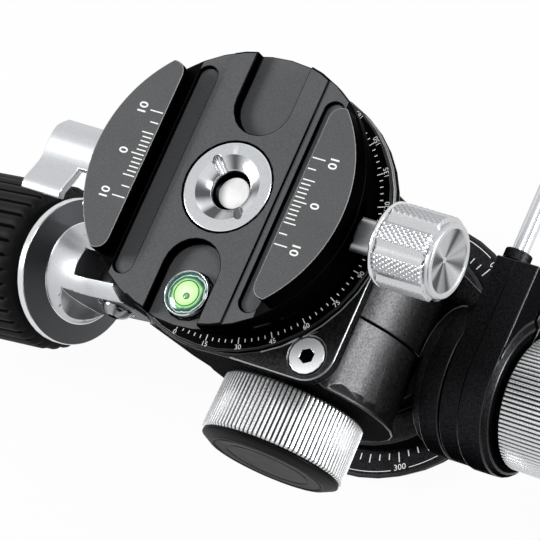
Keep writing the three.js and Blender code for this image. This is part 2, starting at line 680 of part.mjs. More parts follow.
/** Middle body: drum on the roll axis above, spigot on the tilt axis below. */
function makeMiddleBody() {
  const left = ROLL_X - DRUM_RADIUS;
  const right = ROLL_X + DRUM_RADIUS;
  const bottom = TILT_Z - MID_FOOT_RADIUS - OVERRUN;
  const face = new THREE.Shape();
  face.moveTo(left, bottom);
  face.lineTo(right, bottom);
  face.lineTo(right, ROLL_Z);
  face.absarc(ROLL_X, ROLL_Z, DRUM_RADIUS, 0, Math.PI, false);
  face.closePath();
  const faceSettings = { depth: MID_REAR_Y - MID_FRONT_Y, bevelEnabled: false, curveSegments: SMALL_STEPS };
  const slab = new THREE.ExtrudeGeometry(face, faceSettings).rotateX(Math.PI / 2).translate(0, MID_REAR_Y, 0);
  const foot = alongX(disc(MID_FOOT_RADIUS, left - OVERRUN, right + OVERRUN, FINE_STEPS))
    .translate(0, TILT_Y, TILT_Z);
  const above = block(
    [left - OVERRUN, MID_FRONT_Y - OVERRUN, TILT_Z],
    [right + OVERRUN, MID_REAR_Y + OVERRUN, ROLL_Z + DRUM_RADIUS + OVERRUN],
  );
  const bossRoot = right + 2 * GAP;
  const bossFace = CHEEK_X - GAP;
  const spigotEnd = CHEEK_X + CHEEK_THICKNESS + COLLAR_WIDTH + GAP;
  const spigot = alongX(turned([
    [0, bossRoot], [TILT_BOSS_RADIUS, bossRoot], [TILT_BOSS_RADIUS, bossFace], [SPIGOT_RADIUS, bossFace],
    [SPIGOT_RADIUS, spigotEnd], [0, spigotEnd],
  ])).translate(0, TILT_Y, TILT_Z);
  const rootDisc = alongX(disc(TILT_BOSS_RADIUS, right - OVERRUN, bossRoot + GAP)).translate(0, TILT_Y, TILT_Z);
  const behindFront = block(
    [right - 2 * OVERRUN, MID_FRONT_Y, TILT_Z - TILT_BOSS_RADIUS - OVERRUN],
    [bossFace, MID_REAR_Y, TILT_Z + TILT_BOSS_RADIUS + OVERRUN],
  );
  const leftBoss = alongX(disc(LEFT_BOSS_RADIUS, left - BOSS_HEIGHT, left, SMALL_STEPS))
    .translate(0, HANDLE_Y, FOLD_Z);
  const leftRoot = common(
    alongX(disc(LEFT_BOSS_RADIUS, left - OVERRUN, left + OVERRUN, SMALL_STEPS)).translate(0, HANDLE_Y, FOLD_Z),
    block([left - 2 * OVERRUN, MID_FRONT_Y, 0], [left + 2 * OVERRUN, MID_REAR_Y, ROLL_Z]),
  );
  const axleBore = towardsFront(disc(ROLL_AXLE_RADIUS + GAP, -MID_REAR_Y - OVERRUN,
    -MID_FRONT_Y + OVERRUN, SMALL_STEPS)).translate(ROLL_X, 0, ROLL_Z);
  const studBore = alongX(disc(TILT_STUD_RADIUS + GAP, CHEEK_X + GAP, spigotEnd + OVERRUN, SMALL_STEPS))
    .translate(0, TILT_Y, TILT_Z);
  const shaped = common(slab, join(foot, above));
  return cut(
    join(shaped, spigot, common(rootDisc, behindFront), leftBoss, leftRoot),
    axleBore, studBore,
  );
}

/** Split collar with its rear lug, in the tilt axis frame: local -X is up, Y is the rear. */
function makeClampCollar() {
  const low = CHEEK_X + CHEEK_THICKNESS + GAP;
  const seam = low + COLLAR_SEAM;
  const high = low + COLLAR_WIDTH;
  const inner = COLLAR_RADIUS - COLLAR_STEP;
  const body = turned([
    [0, low], [inner, low], [inner, seam], [COLLAR_RADIUS, seam], [COLLAR_RADIUS, high - COLLAR_CHAMFER],
    [COLLAR_RADIUS - COLLAR_CHAMFER, high], [0, high],
  ], FINE_STEPS);
  const lugs = [
    block([-inner, 0, low], [-COLLAR_LUG_LOW, COLLAR_LUG_REAR, seam + GAP]),
    block([-COLLAR_RADIUS, 0, seam], [-COLLAR_LUG_LOW, COLLAR_LUG_REAR, high - COLLAR_CHAMFER]),
  ];
  const bore = disc(SPIGOT_RADIUS + GAP, low - OVERRUN, high + OVERRUN);
  const split = block(
    [-COLLAR_SPLIT_HIGH, COLLAR_SPLIT_START, low - OVERRUN],
    [-COLLAR_SPLIT_LOW, COLLAR_LUG_REAR + OVERRUN, high + OVERRUN],
  );
  const screwHole = collarScrewFrame(disc(COLLAR_SCREW_RADIUS + GAP, 0, COLLAR_SCREW_TOP + GAP, PIN_STEPS));
  return cut(join(body, ...lugs), bore, split, screwHole, rodSocket());
}

/** Where the clamping screw stands in the lug, in the tilt axis frame. */
function collarScrewFrame(geometry) {
  return geometry.rotateY(-Math.PI / 2)
    .translate(0, COLLAR_SCREW_Y, CHEEK_X + CHEEK_THICKNESS + GAP + COLLAR_WIDTH - COLLAR_SCREW_INSET);
}

/** Screw that pulls the collar's split together, its head under the lug. */
function makeCollarScrew() {
  const headTop = COLLAR_LUG_LOW - GAP;
  const headLow = headTop - COLLAR_SCREW_HEAD_HEIGHT;
  const screw = turned([
    [0, headLow], [COLLAR_SCREW_HEAD_RADIUS, headLow], [COLLAR_SCREW_HEAD_RADIUS, headTop],
    [COLLAR_SCREW_RADIUS, headTop], [COLLAR_SCREW_RADIUS, COLLAR_SCREW_TOP], [0, COLLAR_SCREW_TOP],
  ], SMALL_STEPS);
  return collarScrewFrame(cut(screw, hexSocket(COLLAR_SCREW_RADIUS - GAP, headLow - OVERRUN, headTop - GAP)));
}

/** Where the rod lever enters the lug, in the tilt axis frame. */
function rodFrame(geometry) {
  return geometry.rotateX(-Math.PI / 2)
    .translate(-ROD_RISE, COLLAR_LUG_REAR, CHEEK_X + CHEEK_THICKNESS + GAP + ROD_INSET);
}

/** Socket of the rod lever in the lug. */
function rodSocket() {
  return rodFrame(disc(ROD_RADIUS + GAP, -ROD_SOCKET_DEPTH, OVERRUN, PIN_STEPS));
}

/** Straight rod lever with a rounded tip. */
function makeRodLever() {
  const start = -ROD_SOCKET_DEPTH + GAP;
  const edge = ROD_RADIUS / 2;
  return rodFrame(turned([
    [0, start], [ROD_RADIUS, start], [ROD_RADIUS, ROD_LENGTH - edge],
    [ROD_RADIUS - edge / 2, ROD_LENGTH - edge / 4], [0, ROD_LENGTH],
  ], PIN_STEPS));
}

/** Ring nut round the root of the rod lever. */
function makeRodRing() {
  return rodFrame(ring(ROD_RADIUS + GAP, ROD_ROOT_RADIUS, GAP, GAP + ROD_ROOT_LENGTH, SMALL_STEPS));
}

/** Steel stud that the tilt knob screws on, in the tilt axis frame. */
function makeTiltStud() {
  const start = CHEEK_X + 2 * GAP;
  const knobStart = CHEEK_X + CHEEK_THICKNESS + COLLAR_WIDTH + GAP + KNOB_STANDOFF;
  return edgedDisc(TILT_STUD_RADIUS, start, knobStart + KNOB_STUD_DEPTH, SMALL_EDGE, SMALL_STEPS);
}

/** Finely fluted knob, its axis along Z and its inner face at zero. */
function makeFlutedKnob(innerRadius, outerRadius, length, boreRadius) {
  const step = Math.PI / KNOB_FLUTES;
  const points = [];
  for (let i = 0; i < 2 * KNOB_FLUTES; i += 1) {
    const reach = i % 2 ? outerRadius : outerRadius - FLUTE_DEPTH;
    points.push([reach * Math.cos(i * step), reach * Math.sin(i * step)]);
  }
  const body = prism(outlineOf(points), 0, length);
  const place = body.getAttribute('position');
  for (let i = 0; i < place.count; i += 1) {
    const share = place.getZ(i) / length;
    const scale = THREE.MathUtils.lerp(innerRadius / outerRadius, 1, share);
    place.setXY(i, place.getX(i) * scale, place.getY(i) * scale);
  }
  const seat = disc(outerRadius * CAP_SPIGOT_SHARE + GAP, length - CAP_SPIGOT_HEIGHT - GAP, length + OVERRUN);
  const bore = disc(boreRadius + GAP, -OVERRUN, KNOB_STUD_DEPTH + GAP, SMALL_STEPS);
  return cut(body, seat, bore);
}

/** Chamfered end cap of a fluted knob, seated on its outer face. */
function makeKnobCap(outerRadius, length) {
  const low = length + GAP;
  const high = low + CAP_HEIGHT;
  const rim = outerRadius - SMALL_EDGE;
  const spigot = outerRadius * CAP_SPIGOT_SHARE;
  const grooveOuter = rim - CAP_CHAMFER - SMALL_EDGE;
  const grooveInner = grooveOuter - SMALL_EDGE;
  return turned([
    [0, length - CAP_SPIGOT_HEIGHT], [spigot, length - CAP_SPIGOT_HEIGHT], [spigot, low], [rim, low],
    [rim, low + GAP], [rim - CAP_CHAMFER, high], [grooveOuter, high], [grooveOuter, high - SMALL_EDGE],
    [grooveInner, high - SMALL_EDGE], [grooveInner, high], [0, high],
  ]);
}

/** Outline of the upper body's legs in X and Z: drum, left flank and right recess. */
function legOutline() {
  const under = PLATE_TOP_Z - PLATE_THICKNESS + OVERRUN;
  const lowX = ROLL_X + DRUM_RADIUS * Math.cos(RECESS_LOW_ANGLE);
  const lowZ = ROLL_Z + DRUM_RADIUS * Math.sin(RECESS_LOW_ANGLE);
  const leg = new THREE.Shape();
  leg.moveTo(FLANK_TOP_X, under);
  leg.lineTo(FLANK_MID_X, FLANK_MID_Z);
  leg.quadraticCurveTo(ROLL_X - DRUM_RADIUS, ROLL_Z + GAP, ROLL_X - DRUM_RADIUS, ROLL_Z);
  leg.absarc(ROLL_X, ROLL_Z, DRUM_RADIUS, Math.PI, 2 * Math.PI + RECESS_LOW_ANGLE, false);
  leg.lineTo(lowX, lowZ);
  leg.quadraticCurveTo(RECESS_DEEP_X, RECESS_DEEP_Z, RECESS_TOP_X, under);
  leg.closePath();
  return leg;
}

/** Outline of the short rear leg in X and Z. */
function rearLegOutline() {
  const under = PLATE_TOP_Z - PLATE_THICKNESS + OVERRUN;
  const centre = [ROLL_X, ROLL_Z];
  const right = tangentPoint(centre, REAR_LEG_RADIUS, [REAR_LEG_RIGHT_X, under], -1);
  const left = tangentPoint(centre, REAR_LEG_RADIUS, [REAR_LEG_LEFT_X, under], 1);
  const leg = new THREE.Shape();
  leg.moveTo(REAR_LEG_RIGHT_X, under);
  leg.lineTo(REAR_LEG_LEFT_X, under);
  leg.lineTo(left[0], left[1]);
  leg.absarc(ROLL_X, ROLL_Z, REAR_LEG_RADIUS, left[2], right[2] + 2 * Math.PI, false);
  leg.closePath();
  return leg;
}

/** Outline of the plate seen from above: a circle with one square corner at the front right. */
function plateCorner() {
  const half = LUG_HALF_WIDTH;
  const bend = half - LUG_CORNER_RADIUS;
  const corner = new THREE.Shape();
  corner.moveTo(0, 0);
  corner.lineTo(0, -half);
  corner.lineTo(bend, -half);
  corner.absarc(bend, -bend, LUG_CORNER_RADIUS, -Math.PI / 2, 0, false);
  corner.lineTo(half, 0);
  corner.closePath();
  return corner;
}

/** Upper body: plate, two drums on the roll axis and the boss of the rotator lock. */
function makeUpperBody() {
  const under = PLATE_TOP_Z - PLATE_THICKNESS;
  const plate = edgedDisc(PLATE_RADIUS, under, PLATE_TOP_Z, GAP, FINE_STEPS);
  const corner = cut(
    prism(plateCorner(), under, PLATE_TOP_Z + LUG_RISE),
    disc(SCALE_RING_OUTER + GAP, PLATE_TOP_Z, PLATE_TOP_Z + 2 * OVERRUN, FINE_STEPS),
  );
  const frontDepth = MID_FRONT_Y - GAP - DRUM_FRONT_Y;
  const rearDepth = REAR_LEG_Y - MID_REAR_Y - GAP;
  const settings = { bevelEnabled: false, curveSegments: SMALL_STEPS };
  const front = new THREE.ExtrudeGeometry(legOutline(), { depth: frontDepth, ...settings })
    .rotateX(Math.PI / 2).translate(0, MID_FRONT_Y - GAP, 0);
  const rear = new THREE.ExtrudeGeometry(rearLegOutline(), { depth: rearDepth, ...settings })
    .rotateX(Math.PI / 2).translate(0, REAR_LEG_Y, 0);
  const flangeFront = -DRUM_FRONT_Y;
  const flange = towardsFront(turned([
    [0, flangeFront - 2 * DRUM_FLANGE_THICKNESS], [DRUM_RADIUS - GAP, flangeFront - 2 * DRUM_FLANGE_THICKNESS],
    [DRUM_FLANGE_RADIUS, flangeFront - DRUM_FLANGE_THICKNESS / 2], [DRUM_FLANGE_RADIUS, flangeFront],
    [0, flangeFront],
  ])).translate(ROLL_X, 0, ROLL_Z);
  const bossLeft = ROTATOR_BOSS_X - ROTATOR_BOSS_LENGTH;
  const boss = block(
    [bossLeft, ROTATOR_LOCK_Y - ROTATOR_BOSS_WIDTH / 2, under - ROTATOR_BOSS_HEIGHT],
    [ROTATOR_BOSS_X, ROTATOR_LOCK_Y + ROTATOR_BOSS_WIDTH / 2, under + OVERRUN],
  );
  const studBore = alongX(disc(LOCK_STUD_RADIUS + GAP, -OVERRUN, LOCK_STUD_DEPTH + OVERRUN, PIN_STEPS))
    .translate(bossLeft, ROTATOR_LOCK_Y, under - ROTATOR_LOCK_DROP);
  const axleBore = towardsFront(disc(ROLL_AXLE_RADIUS + GAP, -REAR_LEG_Y - OVERRUN,
    -DRUM_FRONT_Y + OVERRUN, SMALL_STEPS)).translate(ROLL_X, 0, ROLL_Z);
  const headBore = towardsFront(disc(AXLE_HEAD_RADIUS + GAP, -REAR_LEG_Y - OVERRUN,
    -REAR_LEG_Y + AXLE_HEAD_HEIGHT + 2 * GAP, SMALL_STEPS)).translate(ROLL_X, 0, ROLL_Z);
  return cut(join(plate, corner, front, flange, rear, boss), studBore, axleBore, headBore, lugScrewSeat());
}

/** Countersunk seat of the lug screw. */
function lugScrewSeat() {
  const top = PLATE_TOP_Z + LUG_RISE;
  const headRadius = LUG_SCREW_HEAD_RADIUS + GAP;
  const coneLow = top - LUG_SCREW_HEAD_HEIGHT - GAP;
  return moved(turned([
    [0, top - PLATE_THICKNESS], [LUG_SCREW_RADIUS + GAP, top - PLATE_THICKNESS],
    [LUG_SCREW_RADIUS + GAP, coneLow], [headRadius, top - GAP], [headRadius, top + OVERRUN], [0, top + OVERRUN],
  ], SMALL_STEPS), LUG_SCREW_X, LUG_SCREW_Y, 0);
}

/** Countersunk socket screw in the plate's corner. */
function makeLugScrew() {
  const top = PLATE_TOP_Z + LUG_RISE;
  const low = top - PLATE_THICKNESS + GAP;
  const screw = turned([
    [0, low], [LUG_SCREW_RADIUS, low], [LUG_SCREW_RADIUS, top - LUG_SCREW_HEAD_HEIGHT],
    [LUG_SCREW_HEAD_RADIUS, top - GAP], [LUG_SCREW_HEAD_RADIUS, top], [0, top],
  ], SMALL_STEPS);
  const socket = hexSocket(LUG_SCREW_HEX, top - LUG_SCREW_HEAD_HEIGHT, top + OVERRUN);
  return moved(cut(screw, socket), LUG_SCREW_X, LUG_SCREW_Y, 0);
}

/** Roll axle with its rear head, in the roll axis frame: local Z runs to the front. */
function makeRollAxle() {
  const headLow = -REAR_LEG_Y + GAP;
  const headHigh = headLow + AXLE_HEAD_HEIGHT;
  const end = -DRUM_FRONT_Y + KNOB_STANDOFF + KNOB_STUD_DEPTH;
  const axle = turned([
    [0, headLow], [AXLE_HEAD_RADIUS, headLow], [AXLE_HEAD_RADIUS, headHigh], [ROLL_AXLE_RADIUS, headHigh],
    [ROLL_AXLE_RADIUS, end - SMALL_EDGE], [ROLL_AXLE_RADIUS - SMALL_EDGE, end], [0, end],
  ], SMALL_STEPS);
  return cut(axle, hexSocket(AXLE_HEX, headLow - OVERRUN, headHigh));
}

/** Degree ring of the rotator. */
function makeScaleRing() {
  const low = PLATE_TOP_Z + GAP;
  const high = low + SCALE_RING_HEIGHT;
  const edge = GAP;
  return turned([
    [SCALE_RING_INNER, low], [SCALE_RING_OUTER, low], [SCALE_RING_OUTER, high - edge],
    [SCALE_RING_OUTER - edge, high], [SCALE_RING_INNER, high],
  ], FINE_STEPS);
}

/** Flanged hub on the plate that the clamp turns on. */
function makeRotatorHub() {
  const low = PLATE_TOP_Z + GAP;
  const neckTop = CLAMP_BOTTOM_Z + KEEPER_HEIGHT + GAP;
  const top = neckTop + ROTATOR_FLANGE_HEIGHT;
  return turned([
    [0, low], [ROTATOR_HUB_RADIUS, low], [ROTATOR_HUB_RADIUS, neckTop], [ROTATOR_FLANGE_RADIUS, neckTop],
    [ROTATOR_FLANGE_RADIUS, top], [0, top],
  ]);
}

/** Keeper ring in the clamp's underside that holds the hub's flange. */
function makeKeeperRing() {
  return ring(ROTATOR_HUB_RADIUS + GAP, KEEPER_RADIUS, CLAMP_BOTTOM_Z, CLAMP_BOTTOM_Z + KEEPER_HEIGHT);
}

/** Outline of a jaw seen from above: the clamp's circle cut off by the jaw's inner edge, with round ends. */
function jawOutline(inset) {
  const inner = JAW_INNER_X + inset;
  const radius = CLAMP_RADIUS - GAP / 2;
  const chord = Math.sqrt(radius * radius - (inner + JAW_CORNER) * (inner + JAW_CORNER));
  const bearing = Math.atan2(chord, inner + JAW_CORNER);
  const jaw = new THREE.Shape();
  const bend = chord - JAW_CORNER / 2;
  jaw.moveTo(inner, -bend + JAW_CORNER / 2);
  jaw.quadraticCurveTo(inner, -bend - JAW_CORNER / 2, radius * Math.cos(bearing), -radius * Math.sin(bearing));
  jaw.absarc(0, 0, radius, -bearing, bearing, false);
  jaw.quadraticCurveTo(inner, bend + JAW_CORNER / 2, inner, bend - JAW_CORNER / 2);
  jaw.closePath();
  return jaw;
}

/** Jaw block on the +X side: foot, undercut dovetail and lip. */
function makeJawBlock(low) {
  const lip = prismFine(jawOutline(0), JAW_TOP_Z - JAW_LIP_HEIGHT, JAW_TOP_Z);
  const whole = prismFine(jawOutline(0), low, JAW_TOP_Z);
  const under = new THREE.Shape();
  const footTop = PAD_Z + JAW_FOOT_HEIGHT;
  under.moveTo(0, low - OVERRUN);
  under.lineTo(JAW_INNER_X + JAW_UNDERCUT, low - OVERRUN);
  under.lineTo(JAW_INNER_X + JAW_UNDERCUT, footTop);
  under.lineTo(JAW_INNER_X, JAW_TOP_Z - JAW_LIP_HEIGHT);
  under.lineTo(0, JAW_TOP_Z - JAW_LIP_HEIGHT);
  under.closePath();
  const settings = { depth: 2 * CLAMP_RADIUS, bevelEnabled: false };
  const channel = new THREE.ExtrudeGeometry(under, settings).rotateX(Math.PI / 2).translate(0, CLAMP_RADIUS, 0);
  return join(cut(whole, channel), lip);
}

/** A prism whose arcs have many steps. */
function prismFine(outline, low, high) {
  const settings = { depth: high - low, bevelEnabled: false, curveSegments: SMALL_STEPS };
  return closed(new THREE.ExtrudeGeometry(outline, settings).translate(0, 0, low));
}

/** Round-ended slot cutter along Y. */
function roundSlot(x, halfWidth, y0, y1, low, high) {
  const slot = new THREE.Shape();
  slot.moveTo(x + halfWidth, y0);
  slot.lineTo(x + halfWidth, y1);
  slot.absarc(x, y1, halfWidth, 0, Math.PI, false);
  slot.lineTo(x - halfWidth, y0);
  slot.absarc(x, y0, halfWidth, Math.PI, 2 * Math.PI, false);
  slot.closePath();
  return prism(slot, low, high);
}

/** Shallow rectangular recesses on the drum's side. */
function sideRecesses() {
  const middle = (CLAMP_BOTTOM_Z + CLAMP_FLANGE_Z) / 2;
  return SIDE_RECESS_ANGLES.map((angle) => block(
    [CLAMP_DRUM_RADIUS - SIDE_RECESS_DEPTH, -SIDE_RECESS_WIDTH / 2, middle - SIDE_RECESS_HEIGHT / 2],
    [CLAMP_DRUM_RADIUS + OVERRUN, SIDE_RECESS_WIDTH / 2, middle + SIDE_RECESS_HEIGHT / 2],
  ).rotateZ(angle));
}

/** Clamp body: drum, flange, pad and the fixed jaw. */
function makeClampBody() {
  const body = turned([
    [0, CLAMP_BOTTOM_Z], [CLAMP_DRUM_RADIUS, CLAMP_BOTTOM_Z], [CLAMP_DRUM_RADIUS, CLAMP_FLANGE_Z],
    [CLAMP_RADIUS, CLAMP_FLANGE_Z + SMALL_EDGE], [CLAMP_RADIUS, PAD_Z - GAP], [CLAMP_RADIUS - GAP, PAD_Z],
    [0, PAD_Z],
  ], FINE_STEPS);
  const stepLow = PAD_Z - PAD_STEP;
  const sides = [-1, 1].map((side) => {
    const [near, far] = [side * PAD_HALF_WIDTH, side * (CLAMP_RADIUS + OVERRUN)];
    return block(
      [Math.min(near, far), -CLAMP_RADIUS - OVERRUN, stepLow],
      [Math.max(near, far), CLAMP_RADIUS + OVERRUN, PAD_Z + OVERRUN],
    );
  });
  const grooves = [-1, 1].map((side) => roundSlot(
    side * (GROOVE_INNER_X + GROOVE_HALF_WIDTH), GROOVE_HALF_WIDTH,
    -GROOVE_HALF_LENGTH + GROOVE_HALF_WIDTH, GROOVE_HALF_LENGTH - GROOVE_HALF_WIDTH,
    PAD_Z - GROOVE_DEPTH, PAD_Z + OVERRUN,
  ));
  const slots = [-1, 1].map((side) => {
    const inner = side * (SLOT_END_Y + SLOT_HALF_WIDTH);
    const outer = side * (CLAMP_RADIUS + 2 * SLOT_HALF_WIDTH);
    return roundSlot(0, SLOT_HALF_WIDTH, Math.min(inner, outer), Math.max(inner, outer),
      PAD_Z - SLOT_DEPTH, PAD_Z + OVERRUN);
  });
  const notch = block(
    [-CLAMP_RADIUS - OVERRUN, -NOTCH_HALF_WIDTH, PAD_Z - NOTCH_DEPTH],
    [-NOTCH_INNER_X, NOTCH_HALF_WIDTH, PAD_Z + OVERRUN],
  );
  const nutSeat = disc(CENTRE_NUT_RADIUS + GAP, PAD_Z - CENTRE_NUT_HEIGHT - GAP, PAD_Z + OVERRUN);
  const centreHole = disc(CENTRE_HOLE_RADIUS, SCREW_Z, PAD_Z, SMALL_STEPS);
  const keeperSeat = disc(KEEPER_RADIUS + GAP, CLAMP_BOTTOM_Z - OVERRUN, CLAMP_BOTTOM_Z + KEEPER_HEIGHT + GAP);
  const hubTop = CLAMP_BOTTOM_Z + KEEPER_HEIGHT + ROTATOR_FLANGE_HEIGHT + 2 * GAP;
  const hubSeat = disc(ROTATOR_FLANGE_RADIUS + GAP, CLAMP_BOTTOM_Z, hubTop);
  const screwBore = alongX(turned([
    [0, -CLAMP_RADIUS], [SCREW_RADIUS + GAP, -CLAMP_RADIUS], [SCREW_RADIUS + GAP, SHAFT_INNER_X - GAP],
    [SHAFT_RADIUS + GAP, SHAFT_INNER_X - GAP], [SHAFT_RADIUS + GAP, CLAMP_RADIUS + OVERRUN],
    [0, CLAMP_RADIUS + OVERRUN],
  ], SMALL_STEPS)).translate(0, 0, SCREW_Z);
  const pinBores = [-1, 1].map((side) => alongX(turned([
    [0, -NOTCH_INNER_X - OVERRUN], [SPRING_POCKET_RADIUS, -NOTCH_INNER_X - OVERRUN],
    [SPRING_POCKET_RADIUS, SPRING_SEAT_X], [GUIDE_PIN_RADIUS + GAP, SPRING_SEAT_X],
    [GUIDE_PIN_RADIUS + GAP, GUIDE_PIN_INNER_X + GAP], [0, GUIDE_PIN_INNER_X + GAP],
  ], PIN_STEPS)).translate(0, side * GUIDE_PIN_Y, SCREW_Z));
  const levelSeat = moved(levelSeatCutter(), LEVEL_X, LEVEL_Y, 0);
  const drilled = cut(body, ...sides, ...grooves, ...slots, notch, nutSeat, centreHole, keeperSeat, hubSeat);
  const fitted = cut(drilled, screwBore, ...pinBores, levelSeat, ...sideRecesses());
  return join(fitted, makeJawBlock(stepLow - OVERRUN / 2));
}

/** Well for the level in the front slot. */
function levelSeatCutter() {
  const floor = PAD_Z - SLOT_DEPTH;
  const wellLow = floor - LEVEL_WELL_DEPTH - GAP;
  return turned([
    [0, wellLow], [LEVEL_WELL_RADIUS + GAP, wellLow], [LEVEL_WELL_RADIUS + GAP, floor - GAP / 2],
    [LEVEL_RADIUS + GAP, floor - GAP / 2], [LEVEL_RADIUS + GAP, PAD_Z + OVERRUN], [0, PAD_Z + OVERRUN],
  ], SMALL_STEPS);
}

/** Chromed ring of the level. */
function makeLevelBezel() {
  const low = PAD_Z - SLOT_DEPTH + GAP / 2;
  const high = low + LEVEL_HEIGHT;
  const inner = LEVEL_RADIUS - LEVEL_BEZEL_WALL;
  return moved(turned([
    [inner, low], [LEVEL_RADIUS, low], [LEVEL_RADIUS, high - GAP], [LEVEL_RADIUS - GAP, high],
    [inner, high - GAP],
  ], SMALL_STEPS), LEVEL_X, LEVEL_Y, 0);
}

/** Filled glass vial of the level with its domed top. */
function makeLevelVial() {
  const floor = PAD_Z - SLOT_DEPTH;
  const rim = LEVEL_RADIUS - LEVEL_BEZEL_WALL - GAP;
  const shoulder = floor + GAP / 2;
  const top = shoulder + LEVEL_HEIGHT - LEVEL_DOME - GAP;
  return moved(turned([
    [0, floor - LEVEL_WELL_DEPTH], [LEVEL_WELL_RADIUS, floor - LEVEL_WELL_DEPTH], [LEVEL_WELL_RADIUS, shoulder],
    [rim, shoulder], [rim, top], [rim / 2, top + LEVEL_DOME * 0.75], [0, top + LEVEL_DOME],
  ], SMALL_STEPS), LEVEL_X, LEVEL_Y, 0);
}

/** Ring nut in the middle of the pad, dished, with two spanner notches. */
function makeCentreNut() {
  const low = PAD_Z - CENTRE_NUT_HEIGHT;
  const nut = turned([
    [CENTRE_HOLE_RADIUS, low], [CENTRE_NUT_RADIUS, low], [CENTRE_NUT_RADIUS, PAD_Z - GAP],
    [CENTRE_NUT_RADIUS - GAP, PAD_Z], [CENTRE_DISH_RADIUS, PAD_Z],
    [CENTRE_HOLE_RADIUS, PAD_Z - CENTRE_DISH_DEPTH],
  ]);
  const half = SPANNER_NOTCH_HALF_WIDTH;
  const notches = [0, Math.PI].map((turn) => block(
    [CENTRE_HOLE_RADIUS - OVERRUN, -half, PAD_Z - CENTRE_DISH_DEPTH - half],
    [CENTRE_HOLE_RADIUS + SPANNER_NOTCH_REACH, half, PAD_Z + OVERRUN],
  ).rotateZ(turn + SPANNER_NOTCH_ANGLE));
  return cut(nut, ...notches);
}

/** Sliding jaw: the same block on the left, with the leg that the clamp screw pulls. */
function makeSlidingJaw() {
  const head = makeJawBlock(PAD_Z + GAP).rotateZ(Math.PI);
  const legTop = PAD_Z + 2 * GAP;
  const leg = common(
    block(
      [-CLAMP_RADIUS, -NOTCH_HALF_WIDTH + GAP, PAD_Z - NOTCH_DEPTH + GAP],
      [-JAW_INNER_X - JAW_UNDERCUT - GAP, NOTCH_HALF_WIDTH - GAP, legTop],
    ),
    disc(CLAMP_DRUM_RADIUS, CLAMP_BOTTOM_Z, JAW_TOP_Z, FINE_STEPS),
  );
  const screwBore = alongX(disc(SCREW_RADIUS + GAP, -CLAMP_RADIUS - OVERRUN, 0, SMALL_STEPS))
    .translate(0, 0, SCREW_Z);
  const pinBores = [-1, 1].map((side) => alongX(
    disc(GUIDE_PIN_RADIUS + GAP, -CLAMP_RADIUS - OVERRUN, 0, PIN_STEPS),
  ).translate(0, side * GUIDE_PIN_Y, SCREW_Z));
  return cut(join(head, leg), screwBore, ...pinBores);
}

/** One of the two guide pins of the sliding jaw. */
function makeGuidePin(side) {
  const pin = alongX(edgedDisc(GUIDE_PIN_RADIUS, GUIDE_PIN_OUTER_X, GUIDE_PIN_INNER_X, GAP, PIN_STEPS));
  return moved(pin, 0, side * GUIDE_PIN_Y, SCREW_Z);
}

/** One coil spring round a guide pin. */
function makeSpring(side) {
  const low = -JAW_INNER_X - JAW_UNDERCUT + SPRING_WIRE_RADIUS;
  const high = SPRING_SEAT_X - GAP - SPRING_WIRE_RADIUS;
  const points = [];
  for (let i = 0; i <= SPRING_TURNS * SPRING_STEPS_PER_TURN; i += 1) {
    const share = i / (SPRING_TURNS * SPRING_STEPS_PER_TURN);
    const angle = share * SPRING_TURNS * 2 * Math.PI;
    points.push(new THREE.Vector3(
      THREE.MathUtils.lerp(low, high, share),
      side * GUIDE_PIN_Y + SPRING_COIL_RADIUS * Math.cos(angle),
      SCREW_Z + SPRING_COIL_RADIUS * Math.sin(angle),
    ));
  }
  const wire = new THREE.Shape().absarc(0, 0, SPRING_WIRE_RADIUS, 0, 2 * Math.PI, false);
  return closed(new THREE.ExtrudeGeometry(wire, {
    steps: points.length - 1,
    curveSegments: WIRE_STEPS,
    bevelEnabled: false,
    extrudePath: new THREE.CatmullRomCurve3(points),
  }));
}

/** Clamp screw: thin threaded end and thick shaft, in the clamp screw frame. */
function makeClampScrew() {
  const end = CLAMP_KNOB_X + CLAMP_KNOB_LENGTH / 2;
  return turned([
    [0, SCREW_TIP_X], [SCREW_RADIUS, SCREW_TIP_X], [SCREW_RADIUS, SHAFT_INNER_X], [SHAFT_RADIUS, SHAFT_INNER_X],
    [SHAFT_RADIUS, end], [0, end],
  ], SMALL_STEPS);
}

/** Clamp knob with eight smooth flutes between its gripping panels, in the clamp screw frame. */
function makeClampKnob() {
  const low = CLAMP_KNOB_X;
  const high = low + CLAMP_KNOB_LENGTH;
  const endLow = high - CLAMP_KNOB_END_LENGTH;
  const edge = SMALL_EDGE;
  const bore = SHAFT_RADIUS + GAP;
  const body = turned([
    [bore, low], [CLAMP_KNOB_RADIUS - edge, low], [CLAMP_KNOB_RADIUS, low + edge],
    [CLAMP_KNOB_RADIUS, endLow - edge], [CLAMP_KNOB_END_RADIUS, endLow], [CLAMP_KNOB_END_RADIUS, high - GAP],
    [CLAMP_KNOB_END_RADIUS - GAP, high], [CLAMP_KNOB_DISH_RADIUS, high], [0, high - CLAMP_KNOB_DISH_DEPTH],
    [0, low + CLAMP_KNOB_LENGTH / 2 + GAP], [bore, low + CLAMP_KNOB_LENGTH / 2 + GAP],
  ], FINE_STEPS);
  const reach = CLAMP_KNOB_RADIUS + CLAMP_FLUTE_RADIUS - CLAMP_FLUTE_DEPTH;
  const flutes = [];
  for (let i = 0; i < CLAMP_KNOB_FLUTES; i += 1) {
    const angle = (i + 0.5) * ((2 * Math.PI) / CLAMP_KNOB_FLUTES);
    const flute = disc(CLAMP_FLUTE_RADIUS, low + CLAMP_KNOB_FLANGE, endLow + OVERRUN, SMALL_STEPS);
    flutes.push(moved(flute, reach * Math.cos(angle), reach * Math.sin(angle), 0));
  }
  return cut(body, ...flutes);
}

